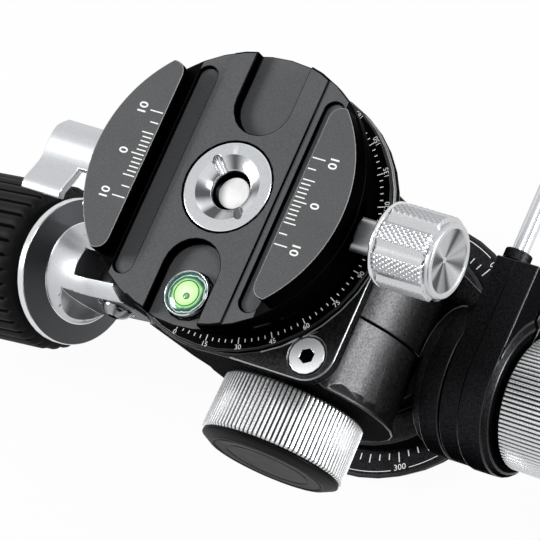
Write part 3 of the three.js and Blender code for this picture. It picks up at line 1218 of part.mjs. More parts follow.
/** Post and flat tongue that the handle folds on, in the row's own frame. */
function makeHandleTongue() {
  const start = ROLL_X - DRUM_RADIUS - BOSS_HEIGHT - GAP;
  const postEnd = FOLD_X + FORK_END_RADIUS + GAP;
  const post = alongX(turned([
    [0, postEnd], [POST_RADIUS - SMALL_EDGE, postEnd], [POST_RADIUS, postEnd + SMALL_EDGE],
    [POST_RADIUS, start - POST_FLANGE_HEIGHT - SMALL_EDGE], [POST_FLANGE_RADIUS, start - POST_FLANGE_HEIGHT],
    [POST_FLANGE_RADIUS, start], [0, start],
  ], SMALL_STEPS)).translate(0, HANDLE_Y, FOLD_Z);
  const blade = new THREE.Shape();
  blade.moveTo(postEnd + OVERRUN, FOLD_Z - POST_RADIUS + SMALL_EDGE);
  blade.lineTo(postEnd + OVERRUN, FOLD_Z + POST_RADIUS - SMALL_EDGE);
  blade.lineTo(FOLD_X, FOLD_Z + TONGUE_END_RADIUS);
  blade.absarc(FOLD_X, FOLD_Z, TONGUE_END_RADIUS, Math.PI / 2, 1.5 * Math.PI, false);
  blade.closePath();
  const tongue = towardsFront(prismFine(blade, -TONGUE_HALF_THICKNESS, TONGUE_HALF_THICKNESS))
    .translate(0, HANDLE_Y, 0);
  const bore = towardsFront(disc(FOLD_SCREW_RADIUS + GAP, -FORK_RADIUS, FORK_RADIUS, PIN_STEPS))
    .translate(FOLD_X, HANDLE_Y, FOLD_Z);
  return cut(join(post, tongue), bore);
}

/** Fork, flare and flange of the handle, in the handle frame: Z outwards, X up, Y to the rear. */
function makeHandleFork() {
  const flare = new THREE.CubicBezierCurve(
    new THREE.Vector2(FORK_RADIUS, CONE_START),
    new THREE.Vector2(FORK_RADIUS + OVERRUN, (CONE_START + FLANGE_START) / 2),
    new THREE.Vector2(FLANGE_RADIUS - 3 * OVERRUN, FLANGE_START - 2 * OVERRUN),
    new THREE.Vector2(FLANGE_RADIUS, FLANGE_START),
  ).getPoints(ARC_STEPS).map((point) => [point.x, point.y]);
  const body = turned([
    [0, -FORK_END_RADIUS], [FORK_RADIUS, -FORK_END_RADIUS], ...flare, [FLANGE_RADIUS, FLANGE_END - SMALL_EDGE],
    [FLANGE_RADIUS - SMALL_EDGE, FLANGE_END], [0, FLANGE_END],
  ]);
  const pivotRound = towardsFront(disc(FORK_END_RADIUS, -FLANGE_RADIUS, FLANGE_RADIUS, ROUND_STEPS));
  const beyond = block(
    [-FLANGE_RADIUS - OVERRUN, -FLANGE_RADIUS - OVERRUN, 0],
    [FLANGE_RADIUS + OVERRUN, FLANGE_RADIUS + OVERRUN, FLANGE_END + OVERRUN],
  );
  const slotHalf = TONGUE_HALF_THICKNESS + GAP;
  const slot = block(
    [-FLANGE_RADIUS, -slotHalf, -FORK_END_RADIUS - OVERRUN],
    [FLANGE_RADIUS, slotHalf, FORK_SLOT_DEPTH],
  );
  const bore = towardsFront(disc(FOLD_SCREW_RADIUS + GAP, -FLANGE_RADIUS, FLANGE_RADIUS, PIN_STEPS));
  const faces = [-1, 1].map((side) => {
    const [near, far] = [side * EAR_HALF_THICKNESS, side * FLANGE_RADIUS];
    return towardsFront(disc(EAR_FLAT_RADIUS, Math.min(near, far), Math.max(near, far)));
  });
  const headSeat = towardsFront(disc(COUNTERBORE_RADIUS, EAR_HALF_THICKNESS - COUNTERBORE_DEPTH, FLANGE_RADIUS,
    SMALL_STEPS));
  const socket = disc(SPINDLE_RADIUS + GAP, FLANGE_END - SPINDLE_DEPTH, FLANGE_END + OVERRUN, SMALL_STEPS);
  return cut(common(body, join(pivotRound, beyond)), slot, bore, ...faces, headSeat, socket);
}

/** Button-head screw of the fold joint, head at the front, in the handle frame. */
function makeFoldScrew() {
  const head = EAR_HALF_THICKNESS - COUNTERBORE_DEPTH + GAP;
  const top = head + FOLD_HEAD_HEIGHT;
  const tail = -EAR_HALF_THICKNESS - LEVER_HUB_LENGTH - FOLD_NUT_HEIGHT - 3 * GAP;
  const screw = turned([
    [0, tail], [FOLD_SCREW_RADIUS, tail],
    [FOLD_SCREW_RADIUS, head], [FOLD_HEAD_RADIUS, head], [FOLD_HEAD_RADIUS - GAP, head + FOLD_HEAD_HEIGHT / 2],
    [FOLD_HEAD_RADIUS / 2, top - GAP / 2], [0, top],
  ], SMALL_STEPS);
  return towardsFront(cut(screw, hexSocket(FOLD_HEX, head + GAP, top + OVERRUN)));
}

/** Nut at the rear of the fold joint. */
function makeFoldNut() {
  const high = -EAR_HALF_THICKNESS - LEVER_HUB_LENGTH - 2 * GAP;
  const low = high - FOLD_NUT_HEIGHT;
  const nut = disc(FOLD_NUT_RADIUS, low, high, 6);
  return towardsFront(cut(nut, disc(FOLD_SCREW_RADIUS + GAP, low - OVERRUN, high + OVERRUN, PIN_STEPS)));
}

/** Spindle between the flange and the grip. */
function makeGripSpindle() {
  return edgedDisc(SPINDLE_RADIUS, FLANGE_END - SPINDLE_DEPTH + GAP, SPINDLE_END, SMALL_EDGE, SMALL_STEPS);
}

/** Ribbed rubber grip. */
function makeGrip() {
  const stepsPerRib = 4;
  const count = GRIP_RIBS * stepsPerRib;
  const points = [];
  for (let i = 0; i < count; i += 1) {
    const angle = (i * 2 * Math.PI) / count;
    const wave = Math.abs(Math.cos((i * Math.PI) / stepsPerRib));
    const reach = GRIP_RADIUS - GRIP_RIB_DEPTH * (1 - wave);
    points.push([reach * Math.cos(angle), reach * Math.sin(angle)]);
  }
  const ribs = prism(outlineOf(points), GRIP_START, GRIP_END);
  const edge = GRIP_RIB_DEPTH;
  const trim = turned([
    [0, GRIP_START], [GRIP_RADIUS - edge, GRIP_START], [GRIP_RADIUS, GRIP_START + edge],
    [GRIP_RADIUS, GRIP_END - edge], [GRIP_RADIUS - edge, GRIP_END], [0, GRIP_END],
  ]);
  const bore = disc(SPINDLE_RADIUS + GAP, GRIP_START - OVERRUN, SPINDLE_END + GAP, SMALL_STEPS);
  const capSeat = disc(GRIP_CAP_RADIUS * CAP_SPIGOT_SHARE + GAP, GRIP_END - GRIP_BOTTOM_WALL,
    GRIP_END + OVERRUN, SMALL_STEPS);
  return cut(common(ribs, trim), bore, capSeat);
}

/** Domed cap at the grip's end. */
function makeGripCap() {
  const low = GRIP_END + GAP;
  const spigot = GRIP_CAP_RADIUS * CAP_SPIGOT_SHARE;
  const dome = new THREE.QuadraticBezierCurve(
    new THREE.Vector2(GRIP_CAP_RADIUS, low + SMALL_EDGE),
    new THREE.Vector2(GRIP_CAP_RADIUS - OVERRUN, low + GRIP_CAP_DOME),
    new THREE.Vector2(0, low + GRIP_CAP_DOME),
  ).getPoints(ARC_STEPS).map((point) => [point.x, point.y]);
  return turned([
    [0, GRIP_END - GRIP_BOTTOM_WALL + GAP], [spigot, GRIP_END - GRIP_BOTTOM_WALL + GAP], [spigot, low],
    [GRIP_CAP_RADIUS, low], ...dome,
  ]);
}

/** Lock lever: hub on the fold axis, arm, and a waved finger plate, in the handle frame. */
function makeLockLever() {
  const settings = { bevelEnabled: false, curveSegments: ARC_STEPS };
  const wave = new THREE.SplineCurve(LEVER_PROFILE.map(([y, z]) => new THREE.Vector2(y, z)));
  const upper = [];
  const lower = [];
  for (let i = 0; i <= 2 * ARC_STEPS; i += 1) {
    const point = wave.getPoint(i / (2 * ARC_STEPS));
    const along = wave.getTangent(i / (2 * ARC_STEPS));
    upper.push([point.x, point.y]);
    lower.unshift([point.x + along.y * LEVER_THICKNESS, point.y - along.x * LEVER_THICKNESS]);
  }
  const turn = new THREE.Matrix4().makeBasis(
    new THREE.Vector3(0, 1, 0), new THREE.Vector3(0, 0, 1), new THREE.Vector3(1, 0, 0),
  );
  const waved = outlineOf([...upper, ...lower]);
  const plate = new THREE.ExtrudeGeometry(waved, { depth: -LEVER_OUTER_X, ...settings })
    .applyMatrix4(turn).translate(LEVER_OUTER_X, 0, 0);
  const [lipY, lipZ] = LEVER_PROFILE[0];
  const notch = block([LEVER_NOTCH_X, 0, 0], [LEVER_ARM_X, LEVER_NOTCH_Y, lipZ + 2 * LEVER_THICKNESS]);
  const rear = EAR_HALF_THICKNESS + GAP;
  const armRear = lipY + LEVER_HUB_LENGTH;
  const armTop = lipZ - LEVER_THICKNESS;
  const arm = prism(outlineOf([[LEVER_ARM_X, 0], [-LEVER_ARM_X, 0], [0, armTop], [LEVER_ARM_X, armTop]]),
    -rear - LEVER_HUB_LENGTH, -rear);
  const head = prism(outlineOf([
    [LEVER_ARM_X, armTop - 2 * LEVER_HUB_LENGTH], [0, armTop - 2 * LEVER_HUB_LENGTH], [0, armTop],
    [LEVER_ARM_X, armTop],
  ]), -armRear, -rear);
  const hub = disc(LEVER_HUB_RADIUS, -rear - LEVER_HUB_LENGTH, -rear, SMALL_STEPS);
  const bore = towardsFront(disc(FOLD_SCREW_RADIUS + GAP, -armRear - OVERRUN, -rear + OVERRUN, PIN_STEPS));
  const stem = towardsFront(join(hub, arm, head));
  return cut(join(cut(plate, notch), stem), bore).rotateY(Math.PI / 2 + HANDLE_DROOP);
}

/** A finish as a material. */
function finish(color, roughness, metalness) {
  return new THREE.MeshStandardMaterial({ color, roughness, metalness });
}

const ANODISED_GREY = finish('#56585a', 0.55, 0.6);
const ANODISED_BLACK = finish('#1d1e20', 0.5, 0.5);
const SATIN_SILVER = finish('#c9cbcc', 0.35, 0.9);
const STEEL = finish('#a9abad', 0.3, 1);
const BLACK_RUBBER = finish('#191919', 0.85, 0);
const BLACK_PLASTIC = finish('#222325', 0.6, 0);
const WHITE_POLYMER = finish('#d8d8d2', 0.5, 0);
const BRASS = finish('#b08d4a', 0.35, 1);
const LEVEL_GREEN = finish('#86d890', 0.1, 0);

/** A named piece. */
function piece(name, geometry, material) {
  const mesh = new THREE.Mesh(geometry, material);
  mesh.name = name;
  return mesh;
}

/** Base and the pieces fixed to it. */
function baseGroup() {
  const group = new THREE.Group();
  group.add(
    piece('base_disc', makeBaseDisc(), ANODISED_BLACK),
    piece('thread_bush', makeThreadBush(), STEEL),
    piece('pan_friction_ring', makeFrictionRing(), WHITE_POLYMER),
    piece('pan_retainer_nut', makePanRetainer(), STEEL),
  );
  return group;
}

/** Pan platform with its arm. */
function panGroup() {
  const group = new THREE.Group();
  group.add(
    piece('pan_platform', makePanPlatform(), ANODISED_BLACK),
    piece('pan_cover', makePanCover(), ANODISED_BLACK),
    piece('pan_arm', makePanArm(), ANODISED_BLACK),
    piece('arm_screw_front', makeArmScrew(-1), STEEL),
    piece('arm_screw_rear', makeArmScrew(1), STEEL),
  );
  const lock = new THREE.Group();
  lock.rotation.set(0, Math.PI / 2, 0);
  const swing = new THREE.Group();
  swing.rotation.z = PAN_LOCK_ANGLE;
  lock.position.set(PAN_LOCK_FACE, 0, BASE_HEIGHT + PAN_LOCK_RISE);
  lock.add(
    piece('pan_lock_knob', makeLockKnob(PAN_LOCK_KNOB_RADIUS, PAN_LOCK_KNOB_LENGTH), SATIN_SILVER),
    piece('pan_lock_stud', makeLockStud(PAN_LOCK_KNOB_LENGTH, PAN_LOCK_FACE - PAN_LOCK_TIP), STEEL),
  );
  swing.add(lock);
  group.add(swing);
  return group;
}

/** Everything turned round the tilt axis, placed with its local Z along +X. */
function tiltAxisGroup() {
  const group = new THREE.Group();
  group.position.set(0, TILT_Y, TILT_Z);
  group.rotation.y = Math.PI / 2;
  group.add(
    piece('tilt_bush', makeTiltBush(), BRASS),
    piece('clamp_collar', makeClampCollar(), ANODISED_BLACK),
    piece('collar_screw', makeCollarScrew(), STEEL),
    piece('rod_lever', makeRodLever(), SATIN_SILVER),
    piece('rod_ring', makeRodRing(), SATIN_SILVER),
    piece('tilt_stud', makeTiltStud(), STEEL),
  );
  const knob = new THREE.Group();
  knob.position.z = CHEEK_X + CHEEK_THICKNESS + COLLAR_WIDTH + GAP + KNOB_STANDOFF;
  knob.add(
    piece('tilt_knob', makeFlutedKnob(TILT_KNOB_INNER_RADIUS, TILT_KNOB_OUTER_RADIUS, TILT_KNOB_LENGTH,
      TILT_STUD_RADIUS), SATIN_SILVER),
    piece('tilt_knob_cap', makeKnobCap(TILT_KNOB_OUTER_RADIUS, TILT_KNOB_LENGTH), BLACK_PLASTIC),
  );
  group.add(knob);
  return group;
}

/** Everything turned round the roll axis, placed with its local Z towards the front. */
function rollAxisGroup() {
  const group = new THREE.Group();
  group.position.set(ROLL_X, 0, ROLL_Z);
  group.rotation.x = Math.PI / 2;
  group.add(piece('roll_axle', makeRollAxle(), STEEL));
  const knob = new THREE.Group();
  knob.position.z = -DRUM_FRONT_Y + KNOB_STANDOFF;
  knob.add(
    piece('roll_knob', makeFlutedKnob(ROLL_KNOB_INNER_RADIUS, ROLL_KNOB_OUTER_RADIUS, ROLL_KNOB_LENGTH,
      ROLL_AXLE_RADIUS), SATIN_SILVER),
    piece('roll_knob_cap', makeKnobCap(ROLL_KNOB_OUTER_RADIUS, ROLL_KNOB_LENGTH), BLACK_PLASTIC),
  );
  group.add(knob);
  return group;
}

/** Middle and upper bodies with what is fixed on the plate. */
function bodyGroup() {
  const group = new THREE.Group();
  group.add(
    piece('middle_body', makeMiddleBody(), ANODISED_BLACK),
    piece('upper_body', makeUpperBody(), ANODISED_BLACK),
    piece('plate_screw', makeLugScrew(), STEEL),
    piece('rotator_scale_ring', makeScaleRing(), ANODISED_BLACK),
    piece('rotator_hub', makeRotatorHub(), STEEL),
  );
  const lock = new THREE.Group();
  lock.position.set(
    ROTATOR_BOSS_X - ROTATOR_BOSS_LENGTH - GAP, ROTATOR_LOCK_Y,
    PLATE_TOP_Z - PLATE_THICKNESS - ROTATOR_LOCK_DROP,
  );
  lock.rotation.y = -Math.PI / 2;
  lock.add(
    piece('rotator_lock_knob', makeLockKnob(ROTATOR_KNOB_RADIUS, ROTATOR_KNOB_LENGTH), SATIN_SILVER),
    piece('rotator_lock_stud', makeLockStud(ROTATOR_KNOB_LENGTH, LOCK_STUD_DEPTH), STEEL),
  );
  group.add(lock);
  return group;
}

/** Panning clamp with its sliding jaw, screw and level. */
function clampGroup() {
  const group = new THREE.Group();
  group.add(
    piece('clamp_body', makeClampBody(), ANODISED_GREY),
    piece('keeper_ring', makeKeeperRing(), BRASS),
    piece('centre_nut', makeCentreNut(), SATIN_SILVER),
    piece('level_bezel', makeLevelBezel(), STEEL),
    piece('level_vial', makeLevelVial(), LEVEL_GREEN),
    piece('guide_pin_front', makeGuidePin(-1), STEEL),
    piece('guide_pin_rear', makeGuidePin(1), STEEL),
    piece('jaw_spring_front', makeSpring(-1), STEEL),
    piece('jaw_spring_rear', makeSpring(1), STEEL),
    piece('sliding_jaw', makeSlidingJaw(), ANODISED_GREY),
  );
  const screw = new THREE.Group();
  screw.position.z = SCREW_Z;
  screw.rotation.y = Math.PI / 2;
  screw.add(
    piece('clamp_screw', makeClampScrew(), STEEL),
    piece('clamp_knob', makeClampKnob(), SATIN_SILVER),
  );
  group.add(screw);
  return group;
}

/** Folding handle, placed with its local Z outwards along the drooping handle. */
function handleGroup() {
  const group = new THREE.Group();
  group.add(piece('handle_tongue', makeHandleTongue(), ANODISED_BLACK));
  const handle = new THREE.Group();
  handle.position.set(FOLD_X, HANDLE_Y, FOLD_Z);
  handle.rotation.y = -Math.PI / 2 - HANDLE_DROOP;
  handle.add(
    piece('handle_fork', makeHandleFork(), SATIN_SILVER),
    piece('fold_screw', makeFoldScrew(), STEEL),
    piece('fold_nut', makeFoldNut(), STEEL),
    piece('grip_spindle', makeGripSpindle(), STEEL),
    piece('handle_grip', makeGrip(), BLACK_RUBBER),
    piece('grip_cap', makeGripCap(), BLACK_PLASTIC),
    piece('lock_lever', makeLockLever(), SATIN_SILVER),
  );
  group.add(handle);
  return group;
}

const head = new THREE.Group();
head.add(baseGroup(), panGroup(), tiltAxisGroup(), rollAxisGroup(), bodyGroup(), clampGroup(), handleGroup());

export default head;
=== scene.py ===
"""Dressed model of a three-way pan head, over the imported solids, in metres."""

import enum
import logging
import math
from collections.abc import Callable, Iterable, Sequence
from dataclasses import dataclass, field

import bmesh
import bpy
from mathutils import Matrix, Vector


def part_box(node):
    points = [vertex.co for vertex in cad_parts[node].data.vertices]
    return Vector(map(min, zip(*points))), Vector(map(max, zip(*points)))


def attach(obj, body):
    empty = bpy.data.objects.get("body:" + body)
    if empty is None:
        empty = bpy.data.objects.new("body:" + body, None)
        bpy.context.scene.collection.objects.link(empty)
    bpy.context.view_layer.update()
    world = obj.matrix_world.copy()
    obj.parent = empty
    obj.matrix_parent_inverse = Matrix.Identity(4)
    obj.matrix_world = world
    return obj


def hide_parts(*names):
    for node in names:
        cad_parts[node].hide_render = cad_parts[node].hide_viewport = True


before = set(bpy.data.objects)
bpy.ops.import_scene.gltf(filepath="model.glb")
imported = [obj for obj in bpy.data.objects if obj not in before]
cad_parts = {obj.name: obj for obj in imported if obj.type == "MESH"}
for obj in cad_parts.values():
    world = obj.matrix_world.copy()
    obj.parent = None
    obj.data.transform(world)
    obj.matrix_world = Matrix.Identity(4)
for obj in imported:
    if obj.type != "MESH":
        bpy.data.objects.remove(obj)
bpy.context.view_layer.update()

log = logging.getLogger("pan_head")

MM = 0.001

# Facets round a turned piece, from the fork down to a hexagon socket
FORK_STEPS = 160
RING_STEPS = 128
SEAT_STEPS = 64
HOLE_STEPS = 48
NOTCH_STEPS = 32
HEX_SIDES = 6

# Limits in millimetres: what counts as on the axis, and as one corner
ON_AXIS_MM = 1e-6
WELD_MM = 0.002

# Angles between two faces that count as flat, as a sharp edge and as a rounded one
FLAT_ANGLE = math.radians(0.6)
SHARP_ANGLE = math.radians(31)
ROUND_ANGLE = math.radians(50)
EDGE_STEPS = 2
EVEN_WEIGHT = 90
FACING_UP = 0.98

# Marks: height over their face, figures as a share of the type size, and steps of curves
INK_LIFT = 0.03
FIGURE_SHARE = 0.73
CURVE_STEPS = 4
ARC_STEP = 2

# Flutes of the two lock knobs, which their finish follows
KNOB_FLUTES = 95
FLUTE_ROOT_SHARE = 0.55

# Values that a noise texture mostly lies between
NOISE_LOW = 0.3
NOISE_HIGH = 0.7

# Widths of broken edges in millimetres, from the bodies down to the screws
BROAD_EDGE = 0.3
PLATE_EDGE = 0.26
KNOB_EDGE = 0.25
CLAMP_EDGE = 0.22
THIN_EDGE = 0.2
NUT_EDGE = 0.15
SCREW_EDGE = 0.12

Profile = Sequence[tuple[float, float]]
Colour = tuple[float, float, float, float]


# Places and axes


def along_x(x: float, y: float, z: float) -> Matrix:
    """Frame in millimetres whose own Z axis points along +X."""
    return Matrix.Translation(Vector((x, y, z)) * MM) @ Matrix.Rotation(math.pi / 2, 4, "Y")


def towards_front(x: float, y: float, z: float) -> Matrix:
    """Frame in millimetres whose own Z axis points along -Y."""
    return Matrix.Translation(Vector((x, y, z)) * MM) @ Matrix.Rotation(math.pi / 2, 4, "X")


def upright(x: float, y: float, z: float) -> Matrix:
    """Frame in millimetres whose own Z axis points up."""
    return Matrix.Translation(Vector((x, y, z)) * MM)


TILT_Y = -10
TILT_Z = 38
TILT_KNOB_X = 54.2
ROLL_X = 11.8
ROLL_Z = 57.5
ROLL_KNOB_Y = -30.2
CLAMP_SCREW_Z = 93.4
FOLD_CENTRE = (-49.8, -12, 40.2)
HANDLE_DROOP = math.radians(17)

PAN_AXIS = upright(0, 0, 0)
TILT_AXIS = along_x(0, TILT_Y, TILT_Z)
ROLL_AXIS = towards_front(ROLL_X, 0, ROLL_Z)
CLAMP_SCREW_AXIS = along_x(0, 0, CLAMP_SCREW_Z)
HANDLE_AXIS = upright(*FOLD_CENTRE) @ Matrix.Rotation(-math.pi / 2 - HANDLE_DROOP, 4, "Y")
FOLD_AXIS = HANDLE_AXIS @ Matrix.Rotation(math.pi / 2, 4, "X")


# Finishes


def linear(hex_colour: str) -> Colour:
    """Turns an sRGB hex colour into the linear colour that a shader takes.

    Args:
        hex_colour: Colour as "#rrggbb".

    Returns:
        Red, green, blue and an alpha of one.
    """
    parts = [int(hex_colour[i : i + 2], 16) / 255 for i in (1, 3, 5)]
    red, green, blue = (c / 12.92 if c <= 0.04045 else ((c + 0.055) / 1.055) ** 2.4 for c in parts)
    return (red, green, blue, 1.0)


def add_node(
    tree: bpy.types.NodeTree,
    kind: str,
    settings: dict[str, object] | None = None,
    links: dict[str | int, bpy.types.NodeSocket] | None = None,
) -> bpy.types.Node:
    """Adds one shader node with its settings and links.

    Args:
        tree: Node tree of the material.
        kind: Blender's name of the node type.
        settings: Values by property name, or by input name or index.
        links: Sockets to join, by input name or index.

    Returns:
        The new node.
    """
    node = tree.nodes.new(kind)
    for key, value in (settings or {}).items():
        if isinstance(key, str) and key not in node.inputs and hasattr(node, key):
            setattr(node, key, value)
        else:
            node.inputs[key].default_value = value
    for key, socket in (links or {}).items():
        tree.links.new(socket, node.inputs[key])
    return node


def per_mm(size_mm: float) -> float:
    """Texture scale that repeats a feature of this size, for coordinates in metres."""
    return 1.0 / (size_mm * MM)


@dataclass(frozen=True)
class Pattern:
    """Patterns that drive a surface: its colour, its roughness and its height.

    The height runs from zero to one over its depth, and relief is the share of it that shows.
    """

    colour: bpy.types.NodeSocket
    roughness: bpy.types.NodeSocket | None = None
    height: bpy.types.NodeSocket | None = None
    depth_mm: float = 0.0
    relief: float = 0.0


class Finish:
    """A surface finish that builds its material once and hands it out."""

    made: dict[str, bpy.types.Material] = {}
    name: str

    def material(self) -> bpy.types.Material:
        """Hands out the finish as a material, built the first time it is asked for.

        Returns:
            The material, the same one each time.
        """
        if self.name not in Finish.made:
            made = bpy.data.materials.new(self.name)
            made.use_nodes = True
            tree = made.node_tree
            tree.nodes.clear()
            shader = add_node(tree, "ShaderNodeBsdfPrincipled")
            add_node(tree, "ShaderNodeOutputMaterial", links={"Surface": shader.outputs["BSDF"]})
            pattern = self.paint(tree, shader)
            tree.links.new(pattern.colour, shader.inputs["Base Color"])
            if pattern.roughness is not None:
                tree.links.new(pattern.roughness, shader.inputs["Roughness"])
            if pattern.height is not None:
                bump = add_node(
                    tree, "ShaderNodeBump", {"Strength": pattern.relief, "Distance": pattern.depth_mm * MM},
                    {"Height": pattern.height},
                )
                tree.links.new(bump.outputs["Normal"], shader.inputs["Normal"])
            Finish.made[self.name] = made
        return Finish.made[self.name]

    def paint(self, tree: bpy.types.NodeTree, shader: bpy.types.Node) -> Pattern:
        """Sets the shader of this finish.

        Args:
            tree: Node tree of the material.
            shader: Its principled shader.

        Returns:
            The patterns that drive it.
        """
        raise NotImplementedError


@dataclass(frozen=True)
class BlastedAnodising(Finish):
    """Aluminium, bead-blasted and anodised.

    To the eye it is matt and faintly grained, with a soft broad sheen where a lamp
    faces it. Real bead marks are near 0.1 mm, and they are drawn larger so they show.
    """

    name: str
    colour: str
    roughness: float = 0.45
    metallic: float = 0.7
    specular: float = 0.5
    edge_tint: float = 1.0
    bead_mm: float = 0.32
    cloud_mm: float = 9.0
    relief: float = 0.22
    grain: float = 0.2
    cloud: float = 0.08
    gloss_spread: float = 0.06
    bead_depth_mm: float = 0.03

    def paint(self, tree: bpy.types.NodeTree, shader: bpy.types.Node) -> Pattern:
        """Sets grain, cloudy tone and a rough sheen.

        Args:
            tree: Node tree of the material.
            shader: Its principled shader.

        Returns:
            The patterns that drive it.
        """
        place = add_node(tree, "ShaderNodeTexCoord").outputs["Object"]
        bead = add_node(
            tree, "ShaderNodeTexNoise",
            {"Scale": per_mm(self.bead_mm), "Detail": 2.0, "Roughness": 0.6}, {"Vector": place},
        )
        cloud = add_node(
            tree, "ShaderNodeTexNoise", {"Scale": per_mm(self.cloud_mm), "Detail": 3.0}, {"Vector": place}
        )
        grain = add_node(
            tree, "ShaderNodeMapRange",
            {
                "From Min": NOISE_LOW, "From Max": NOISE_HIGH,
                "To Min": 1.0 - self.grain, "To Max": 1.0 + self.grain,
            },
            {"Value": bead.outputs["Fac"]},
        )
        tone = add_node(
            tree, "ShaderNodeMapRange", {"To Min": 1.0 - self.cloud, "To Max": 1.0 + self.cloud},
            {"Value": cloud.outputs["Fac"]},
        )
        shade = add_node(
            tree, "ShaderNodeMath", {"operation": "MULTIPLY"},
            {0: grain.outputs["Result"], 1: tone.outputs["Result"]},
        )
        colour = add_node(
            tree, "ShaderNodeVectorMath", {"operation": "SCALE", 0: linear(self.colour)[:3]},
            {"Scale": shade.outputs["Value"]},
        )
        rough = add_node(
            tree, "ShaderNodeMapRange",
            {"To Min": self.roughness - self.gloss_spread, "To Max": self.roughness + self.gloss_spread},
            {"Value": bead.outputs["Fac"]},
        )
        shader.inputs["Metallic"].default_value = self.metallic
        shader.inputs["Specular IOR Level"].default_value = self.specular
        shader.inputs["Specular Tint"].default_value = (self.edge_tint, self.edge_tint, self.edge_tint, 1.0)
        return Pattern(
            colour.outputs["Vector"], rough.outputs["Result"], bead.outputs["Fac"], self.bead_depth_mm,
            self.relief,
        )


class Lay(enum.Enum):
    """Which way the marks of the tool run on a turned piece, about its own Z axis."""

    ROUND = "round"
    NONE = "none"


@dataclass(frozen=True)
class TurnedMetal(Finish):
    """Metal turned on a lathe and left bright or clear anodised.

    The fine round tool marks stretch each highlight across them, so a turned end
    shows light and dark fans. Where fans is set, such fans are also painted into the colour:
    a painted reflection. Marks are near 0.1 mm apart and are drawn at 0.3 mm. The painted
    fans follow the angle round the axis, so they have no size in millimetres.
    """

    name: str
    colour: str
    roughness: float = 0.3
    lay: Lay = Lay.ROUND
    mark_mm: float = 0.3
    mark_depth_mm: float = 0.02
    smudge_mm: float = 6.0
    anisotropy: float = 0.6
    across: float = 0.25
    relief: float = 0.12
    fans: float = 0.0
    fan_scale: float = 1.15
    fan_edge: float = 0.08
    contrast: float = 0.1
    shinier: float = 0.05
    duller: float = 0.07

    def paint(self, tree: bpy.types.NodeTree, shader: bpy.types.Node) -> Pattern:
        """Sets round tool marks, slight smudges, a stretched highlight and painted light and dark fans.

        Args:
            tree: Node tree of the material.
            shader: Its principled shader.

        Returns:
            The patterns that drive it.
        """
        place = add_node(tree, "ShaderNodeTexCoord").outputs["Object"]
        split = add_node(tree, "ShaderNodeSeparateXYZ", links={"Vector": place})
        flat = add_node(
            tree, "ShaderNodeCombineXYZ", links={"X": split.outputs["X"], "Y": split.outputs["Y"]}
        )
        radius = add_node(tree, "ShaderNodeVectorMath", {"operation": "LENGTH"}, {0: flat.outputs["Vector"]})
        track = add_node(
            tree, "ShaderNodeMath", {"operation": "ADD"},
            {0: radius.outputs["Value"], 1: split.outputs["Z"]},
        )
        marks = add_node(
            tree, "ShaderNodeTexNoise",
            {"noise_dimensions": "1D", "Scale": per_mm(self.mark_mm), "Detail": 2.0},
            {"W": track.outputs["Value"]},
        )
        smudge = add_node(
            tree, "ShaderNodeTexNoise",
            {"Scale": per_mm(self.smudge_mm), "Detail": 4.0, "Roughness": 0.65}, {"Vector": place},
        )
        tone = add_node(
            tree, "ShaderNodeMapRange", {"To Min": 1.0 - self.contrast, "To Max": 1.0 + self.contrast},
            {"Value": marks.outputs["Fac"]},
        )
        way = add_node(tree, "ShaderNodeVectorMath", {"operation": "NORMALIZE"}, {0: flat.outputs["Vector"]})
        # Painted reflection: light and dark fans round the axis, multiplied into the colour
        fan = add_node(
            tree, "ShaderNodeTexNoise", {"Scale": self.fan_scale, "Detail": 1.0},
            {"Vector": way.outputs["Vector"]},
        )
        shade = add_node(
            tree, "ShaderNodeMapRange",
            {
                "From Min": 0.5 - self.fan_edge, "From Max": 0.5 + self.fan_edge,
                "To Min": 1.0 - self.fans, "To Max": 1.0,
            },
            {"Value": fan.outputs["Fac"]},
        )
        marks_and_painted_fans = add_node(
            tree, "ShaderNodeMath", {"operation": "MULTIPLY"},
            {0: tone.outputs["Result"], 1: shade.outputs["Result"]},
        )
        colour = add_node(
            tree, "ShaderNodeVectorMath", {"operation": "SCALE", 0: linear(self.colour)[:3]},
            {"Scale": marks_and_painted_fans.outputs["Value"]},
        )
        rough = add_node(
            tree, "ShaderNodeMapRange",
            {"To Min": self.roughness - self.shinier, "To Max": self.roughness + self.duller},
            {"Value": smudge.outputs["Fac"]},
        )
        shader.inputs["Metallic"].default_value = 1.0
        if self.lay is Lay.ROUND:
            tangent = add_node(tree, "ShaderNodeTangent", {"direction_type": "RADIAL", "axis": "Z"})
            tree.links.new(tangent.outputs["Tangent"], shader.inputs["Tangent"])
            shader.inputs["Anisotropic"].default_value = self.anisotropy
            shader.inputs["Anisotropic Rotation"].default_value = self.across
        return Pattern(
            colour.outputs["Vector"], rough.outputs["Result"], marks.outputs["Fac"], self.mark_depth_mm,
            self.relief,
        )


